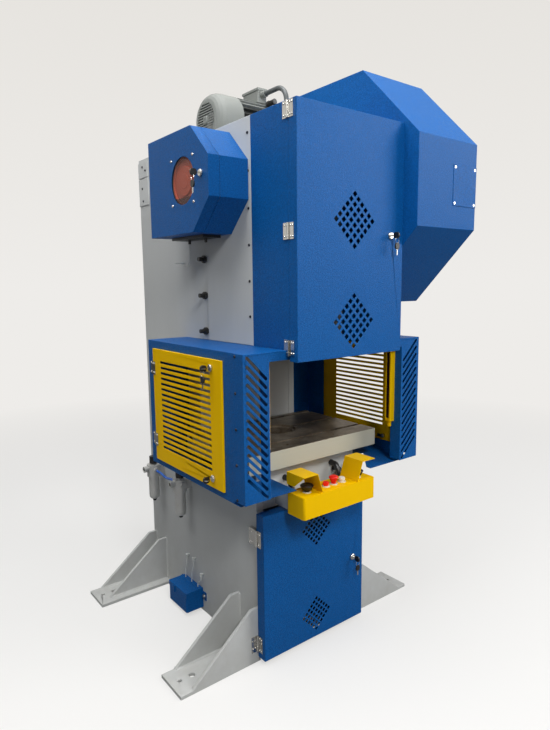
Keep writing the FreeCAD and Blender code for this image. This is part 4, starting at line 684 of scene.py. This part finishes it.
# %% [markdown]
# ## Locks and keys
# Each quarter-turn lock has its key left in.  A key has a black moulded bow round its steel head.  On
# five of the seven, a wire ring through the bow carries the spare key, which hangs below it.  The
# bows are flat ovals with a bevel, which is all that shows of a moulding at this size, and the ring
# is turned like the screws, from a small circle that stands off the axis.

# %% Keys


def wire_ring(name, radius, wire, turns=28, sides=8):
    """A closed ring of round wire about local z."""
    section = []
    for k in range(sides):
        around = 2 * math.pi * k / sides
        section.append((radius + wire * math.cos(around), wire * math.sin(around)))
    return turned(name, section, turns, loop=True)


def slab(name, outline, thickness):
    """A flat closed plate from an outline in local x and y, centred on local z = 0."""
    work = bmesh.new()
    half = thickness / 2
    low = [work.verts.new((x, y, -half)) for x, y in outline]
    high = [work.verts.new((x, y, half)) for x, y in outline]
    work.faces.new(low[::-1])
    work.faces.new(high)
    for k in range(len(outline)):
        after = (k + 1) % len(outline)
        work.faces.new((low[k], low[after], high[after], high[k]))
    return as_mesh(name, work)


def oval(across, along, power=2.6, steps=32):
    """A superellipse: rounder than a box, squarer than a circle."""
    points = []
    for k in range(steps):
        angle = 2 * math.pi * k / steps
        c, s = math.cos(angle), math.sin(angle)
        points.append((across * math.copysign(abs(c) ** (2 / power), c),
                       along * math.copysign(abs(s) ** (2 / power), s)))
    return points


KEY_HEAD = 0.0350          # from the panel to the middle of a key's head
RING_DROP = 0.021          # from there down to the middle of the ring
RING_OUT = 0.004           # how much further out from the panel the ring hangs
SPARE_DROP = 0.024         # from the ring down to the middle of the spare key's head
BLADE_DROP = 0.010         # from there down to the top of its blade
SPARE_BLADE = [(-0.0035, 0.0), (0.0035, 0.0), (0.0035, -0.022), (0.0015, -0.028), (-0.0035, -0.026)]


def add_key(name, face, outward, spare=True):
    """The bow on the key in the lock, with its ring and the spare key below where there is one."""
    out = Vector(outward)
    middle = face + out * KEY_HEAD
    bow = moved(slab("bow", oval(0.0150, 0.0135), 0.0076), facing_matrix(middle, out.cross(Vector(UP))))
    piece(name + "_bow", [bow], name, black_plastic, bevel=0.0012)
    if not spare:
        return
    low = middle + Vector((0, 0, -RING_DROP)) + out * RING_OUT
    ring = moved(wire_ring("ring", 0.0115, 0.0007), facing_matrix(low, out))
    head = low + Vector((0, 0, -SPARE_DROP))
    blade_top = head + Vector((0, 0, -BLADE_DROP))
    blade = moved(slab("blade", SPARE_BLADE, 0.0022), facing_matrix(blade_top, out))
    piece(name + "_ring", [ring, blade], name, nickel_plate)
    spare_bow = moved(slab("bow", oval(0.0125, 0.0140), 0.0070), facing_matrix(head, out))
    piece(name + "_spare_bow", [spare_bow], name, black_plastic, bevel=0.0012)


add_key("upper_key", at(219, -289, 1898), FRONT)
add_key("lower_key", at(231, -70, 354), FRONT)
add_key("cam_key", at(-490, 73, 2138), LEFT)
for end, height in (("top", 1371), ("low", 911)):
    add_key("guard_key_left_" + end, at(-519.8, -10, height), LEFT, spare=end == "top")
    add_key("guard_key_right_" + end, at(519.8, -10, height), RIGHT, spare=end == "top")
print("keys ready")

# %% [markdown]
# ## Gauges, lenses and other small parts
# The air units have round dark gauge faces under a domed glass, and drain caps with twelve flats.  A
# strip of dark red-brown acrylic covers each light curtain.  The motor has a lifting eye, a hub on
# its fan cowl, and a plug in its terminal box, and the cam dial has a raised hub and rim.  All but
# the strips are round, so the turning helper makes them, each from a short list.

# %% Gauge faces and drains
GAUGE_RING = [(0.0133, 0.0), (0.0133, 0.0024), (0.0112, 0.0030), (0.0108, 0.0012)]
GAUGE_GLASS = [(0.0106, 0.0), (0.0104, 0.0012), (0.0080, 0.0026), (0.0045, 0.0033)]
DRAIN_CAP = [(0.0078, 0.0), (0.0098, 0.0016), (0.0098, 0.0108), (0.0084, 0.0124), (0.0084, 0.0150, 12)]
gauge_glass = moulded("gauge glass", tint(16, 17, 18), 0.12, depth=0.00001)
gauge_dial = moulded("gauge dial", tint(222, 222, 214), 0.3)
for depth, label in ((893, "rear"), (588, "front")):
    gauge, drain = at(-417.2, depth, 690), at(-362, depth, 501.5)
    turned_piece("gauge_ring_" + label, GAUGE_RING, gauge, LEFT, "frame", gauge_dial)
    turned_piece("gauge_glass_" + label, GAUGE_GLASS, gauge, LEFT, "frame", gauge_glass)
    turned_piece("drain_" + label, DRAIN_CAP, drain, UP, "frame", black_plastic, 24, BACK)
print("gauges ready")

# %% Light curtain lenses
LENS_STRIP = [(-0.0085, -0.1585), (0.0085, -0.1585), (0.0085, 0.1585), (-0.0085, 0.1585)]
curtain_lens = moulded("curtain lens", tint(38, 14, 14), 0.1, depth=0.00001)
for side, label in ((-1, "left"), (1, "right")):
    inward = facing_matrix(at(side * 359.2, -171, 1216.5), (-side, 0, 0))
    lens = moved(slab("lens", LENS_STRIP, 0.0016), inward)
    piece("curtain_lens_" + label, [lens], "frame", curtain_lens, bevel=0.0004)
print("lenses ready")

# %% Terminal box plug, lifting eye and cowl hub
PLUG = [(0.0150, 0.0), (0.0150, 0.0090, 6), (0.0128, 0.0100), (0.0128, 0.0480), (0.0142, 0.0490),
        (0.0142, 0.0580), (0.0120, 0.0600)]
EYE_FOOT = [(0.0135, 0.0), (0.0135, 0.0035), (0.0085, 0.0065), (0.0065, 0.0120)]
COWL_HUB = [(0.0200, 0.0), (0.0200, 0.0020), (0.0150, 0.0045), (0.0060, 0.0050), (0.0052, 0.0030, 6)]
turned_piece("terminal_plug", PLUG, at(185, 516, 2618), FRONT, "frame", black_plastic, 24)
eye_ring = moved(wire_ring("eye", 0.0150, 0.0042, 36, 12), facing_matrix(at(222, 610, 2668), RIGHT))
eye_foot = moved(turned("foot", EYE_FOOT), facing_matrix(at(222, 610, 2641), UP, BACK))
piece("lifting_eye", [eye_ring, eye_foot], "frame", motor_paint)
turned_piece("cowl_hub", COWL_HUB, at(-134, 610, 2512), LEFT, "frame", motor_paint)
print("motor's small parts ready")

# %% Hub and rim of the cam dial
DIAL_HUB = [(0.0310, 0.0), (0.0310, 0.0012), (0.0295, 0.0020), (0.0120, 0.0020), (0.0120, 0.0026, 6)]
DIAL_RIM = [(0.0915, 0.0), (0.1030, 0.0), (0.1030, 0.0060), (0.1000, 0.0075), (0.0945, 0.0075),
            (0.0915, 0.0060)]
hub_place, rim_place = at(-480, 225, 2128), at(-473, 225, 2128)
turned_piece("cam_dial_hub", DIAL_HUB, hub_place, LEFT, "crank", red_primer)
turned_piece("cam_dial_rim", DIAL_RIM, rim_place, LEFT, "crank", red_primer, 48, loop=True)
print("dial ready")

# %% [markdown]
# ## Weld beads
# The feet are welded on.  A bead is a low ridge with the small ripples that the arc leaves, painted
# over with the rest of the frame.  A bump map would leave the corner sharp, so each bead is a mesh:
# rings of four corners along the joint, every second one a little larger.

# %% Weld beads along the feet
BEAD_RADIUS = 0.0042
RIPPLE = 0.0045            # from one ripple to the next
GUSSETS = (-17, 144, 890, 1012)          # the near face of each, from the plates' front edge
GUSSET_THICKNESS = 16


def bead(name, start, end, across, up):
    """A ridge from start to end in the corner between two plates that lead off across and up."""
    run = end - start
    steps = max(8, int(run.length / RIPPLE) * 2)
    across, up = Vector(across), Vector(up)
    corner = [Vector((0, 0, 0)), across * 1.5, (across + up) * 0.82, up * 1.5]
    work = bmesh.new()
    rings = []
    for k in range(steps + 1):
        share = k / steps
        swell = BEAD_RADIUS * (1.14 if k % 2 else 1.0)
        if k in (0, steps):
            swell = BEAD_RADIUS * 0.4
        rings.append([work.verts.new(start + run * share + reach * swell) for reach in corner])
    for low, high in zip(rings, rings[1:]):
        for m in range(4):
            work.faces.new((low[m], low[(m + 1) % 4], high[(m + 1) % 4], high[m]))
    work.faces.new(rings[0][::-1])
    work.faces.new(rings[-1])
    bmesh.ops.recalc_face_normals(work, faces=work.faces)
    return as_mesh(name, work)


beads = []
for side in (-1, 1):
    for gusset in GUSSETS:
        for face, way in ((gusset, -1), (gusset + GUSSET_THICKNESS, 1)):
            if face == GUSSETS[0]:          # the very front faces have no bead
                continue
            beads.append(bead("foot bead", at(side * 304, face, 16), at(side * 645, face, 16),
                              (0, way, 0), UP))
            beads.append(bead("side bead", at(side * 300, face, 20), at(side * 300, face, 256),
                              (0, way, 0), (side, 0, 0)))
piece("foot_welds", beads, "frame", grey_paint)
print(len(beads), "beads")

# %% [markdown]
# ## Floor, light and camera
# The floor is pale and runs up to a pale background without a visible edge: past a few metres it stops
# being a lit surface and takes the background's own colour.  Near the press it is part lit surface, so
# it keeps the press's soft shadow.  Only the camera sees this pale floor: the press stands on a plain
# grey one, which throws less light up at it and stays dark inside the frame.  The light comes from
# three large soft boxes, one high at the front right, one above and one at the top left, from a
# smaller one at the front left, and a little from a pale room that mirrors and glass show too.  The
# camera's place, turn and lens were found by lining up the straight edges of the press with the
# photograph.

# %% Backdrop colours
FLOOR_PALE = tint(247, 246, 244)
FLOOR_LIT = darker(FLOOR_PALE, 0.87)
FLOOR_GREY = (0.3, 0.3, 0.3)
HORIZON_PALE = tint(238, 236, 233)
CEILING_PALE = tint(228, 225, 220)
ROOM_BLUISH = (0.9, 0.95, 1.0)
ROOM_STRENGTH = 0.1
CEILING_FROM = 0.55        # how steeply a ray must rise to meet the ceiling's colour
STAGE_RADIUS = 2.6
FADE_RADIUS = 6.0
INSIDE_X, INSIDE_Y = 0.29, 0.50          # half the floor inside the frame
print("stage of", STAGE_RADIUS, "m fades by", FADE_RADIUS, "m")

# %% Floor


def seen_ray(finish, *kinds):
    """1 for rays of these kinds, 0 for the others."""
    outputs = finish.add("ShaderNodeLightPath").socket.node.outputs
    rays = [Value(finish, outputs["Is " + kind + " Ray"]) for kind in kinds]
    return sum(rays[1:], rays[0]).clamp()


def floor_plane(size=40.0):
    """A square sheet at height 0, from -size to size both ways."""
    mesh = bpy.data.meshes.new("floor")
    corners = [(-size, -size, 0), (size, -size, 0), (size, size, 0), (-size, size, 0)]
    mesh.from_pydata(corners, [], [(0, 1, 2, 3)])
    plane = bpy.data.objects.new("floor", mesh)
    bpy.context.collection.objects.link(plane)
    return plane


def floor_finish():
    """Lit grey for the press, pale and partly glowing for the camera."""
    pale = Finish("pale floor", Roughness=0.8, Specular_IOR_Level=0.0)
    distance = pale.add("ShaderNodeVectorMath", {0: pale.place()}, output="Value", operation="LENGTH")
    far = ((distance - STAGE_RADIUS) / (FADE_RADIUS - STAGE_RADIUS)).clamp()
    x, y, _ = pale.axes()
    inside = ((INSIDE_X - abs(x)) * 100.0).clamp() * ((INSIDE_Y - abs(y)) * 100.0).clamp()
    seen = seen_ray(pale, "Camera") * (1.0 - inside)
    colour = pale.mix(far, FLOOR_PALE, HORIZON_PALE)
    pale.set("Base Color", pale.mix(seen, FLOOR_GREY, FLOOR_LIT))
    glow = pale.add("ShaderNodeEmission", {"Color": colour, "Strength": 1.0})
    share = seen * (far * 0.4 + 0.6)
    blend = pale.add("ShaderNodeMixShader", {0: share, 1: Value(pale, pale.shader.outputs[0]), 2: glow})
    pale.tree.links.new(blend.socket, pale.tree.nodes["Material Output"].inputs["Surface"])
    return pale.material


floor = floor_plane()
floor.data.materials.append(floor_finish())
print("floor ready")

# %% Pale room


class Room(Finish):
    """The world's node tree, with the same helpers as a material."""

    def __init__(self, name):
        self.material = bpy.data.worlds.new(name)
        self.material.use_nodes = True
        self.tree = self.material.node_tree
        self.shader = self.tree.nodes["Background"]


room = Room("pale room")
direction = room.add("ShaderNodeTexCoord", output="Generated")
split = room.add("ShaderNodeSeparateXYZ", {"Vector": direction})
height = Value(room, split.socket.node.outputs["Z"])
wall = room.mix((height / CEILING_FROM).clamp(), HORIZON_PALE, CEILING_PALE)
backdrop = room.add("ShaderNodeBackground", {"Color": wall, "Strength": 1.0})
room.set("Color", ROOM_BLUISH)
room.set("Strength", ROOM_STRENGTH)
seen = seen_ray(room, "Camera", "Glossy", "Transmission")
blend = room.add("ShaderNodeMixShader", {0: seen, 1: Value(room, room.shader.outputs[0]), 2: backdrop})
room.tree.links.new(blend.socket, room.tree.nodes["World Output"].inputs["Surface"])
bpy.context.scene.world = room.material
print("room ready")

# %% Lamps
PRESS_MIDDLE = Vector((0.0, 0.0, 1.3))


def soft_box(name, direction, distance, energy, size):
    """A square lamp, in watts and metres, that shines at the middle of the press from a direction."""
    data = bpy.data.lights.new(name, "AREA")
    data.energy = energy
    data.size = size
    lamp = bpy.data.objects.new(name, data)
    towards = Vector(direction).normalized()
    lamp.location = PRESS_MIDDLE + towards * distance
    lamp.rotation_euler = towards.to_track_quat("Z", "Y").to_euler()
    bpy.context.collection.objects.link(lamp)


soft_box("high soft box", (0.62, -0.72, 0.40), 5.6, 167, 2.6)
soft_box("top soft box", (-0.1, -0.15, 1.0), 4.2, 158, 3.0)
soft_box("top left soft box", (-0.9, -0.1, 1.3), 5.0, 88, 3.0)
soft_box("front left soft box", (-0.35, -1.0, 0.7), 5.5, 126, 1.0)
print("lamps ready")

# %% Camera
CAMERA_PLACE = at(-1681.1, -1930.8, 1701.6)
LENS_PIXELS = 564.12
LONG_SIDE_PIXELS = 730
YAW, PITCH, ROLL = 0.65862, -0.14341, -0.01079          # yaw turns from straight ahead to the right


def photograph_camera():
    """The camera that saw the press in the photograph."""
    ahead = Vector((math.sin(YAW) * math.cos(PITCH), math.cos(YAW) * math.cos(PITCH), math.sin(PITCH)))
    level = Vector((math.cos(YAW), -math.sin(YAW), 0.0))
    upright = level.cross(ahead)
    right = level * math.cos(ROLL) + upright * math.sin(ROLL)
    up = upright * math.cos(ROLL) - level * math.sin(ROLL)
    data = bpy.data.cameras.new("photograph camera")
    data.sensor_width = 36.0
    data.lens = LENS_PIXELS / LONG_SIDE_PIXELS * data.sensor_width
    camera = bpy.data.objects.new("photograph camera", data)
    turn = Matrix((right, up, -ahead)).transposed()
    camera.matrix_world = Matrix.Translation(CAMERA_PLACE) @ turn.to_4x4()
    bpy.context.collection.objects.link(camera)
    return camera


bpy.context.scene.camera = photograph_camera()
bpy.context.scene.view_settings.view_transform = "Standard"
print("lens", round(bpy.context.scene.camera.data.lens, 2), "mm")
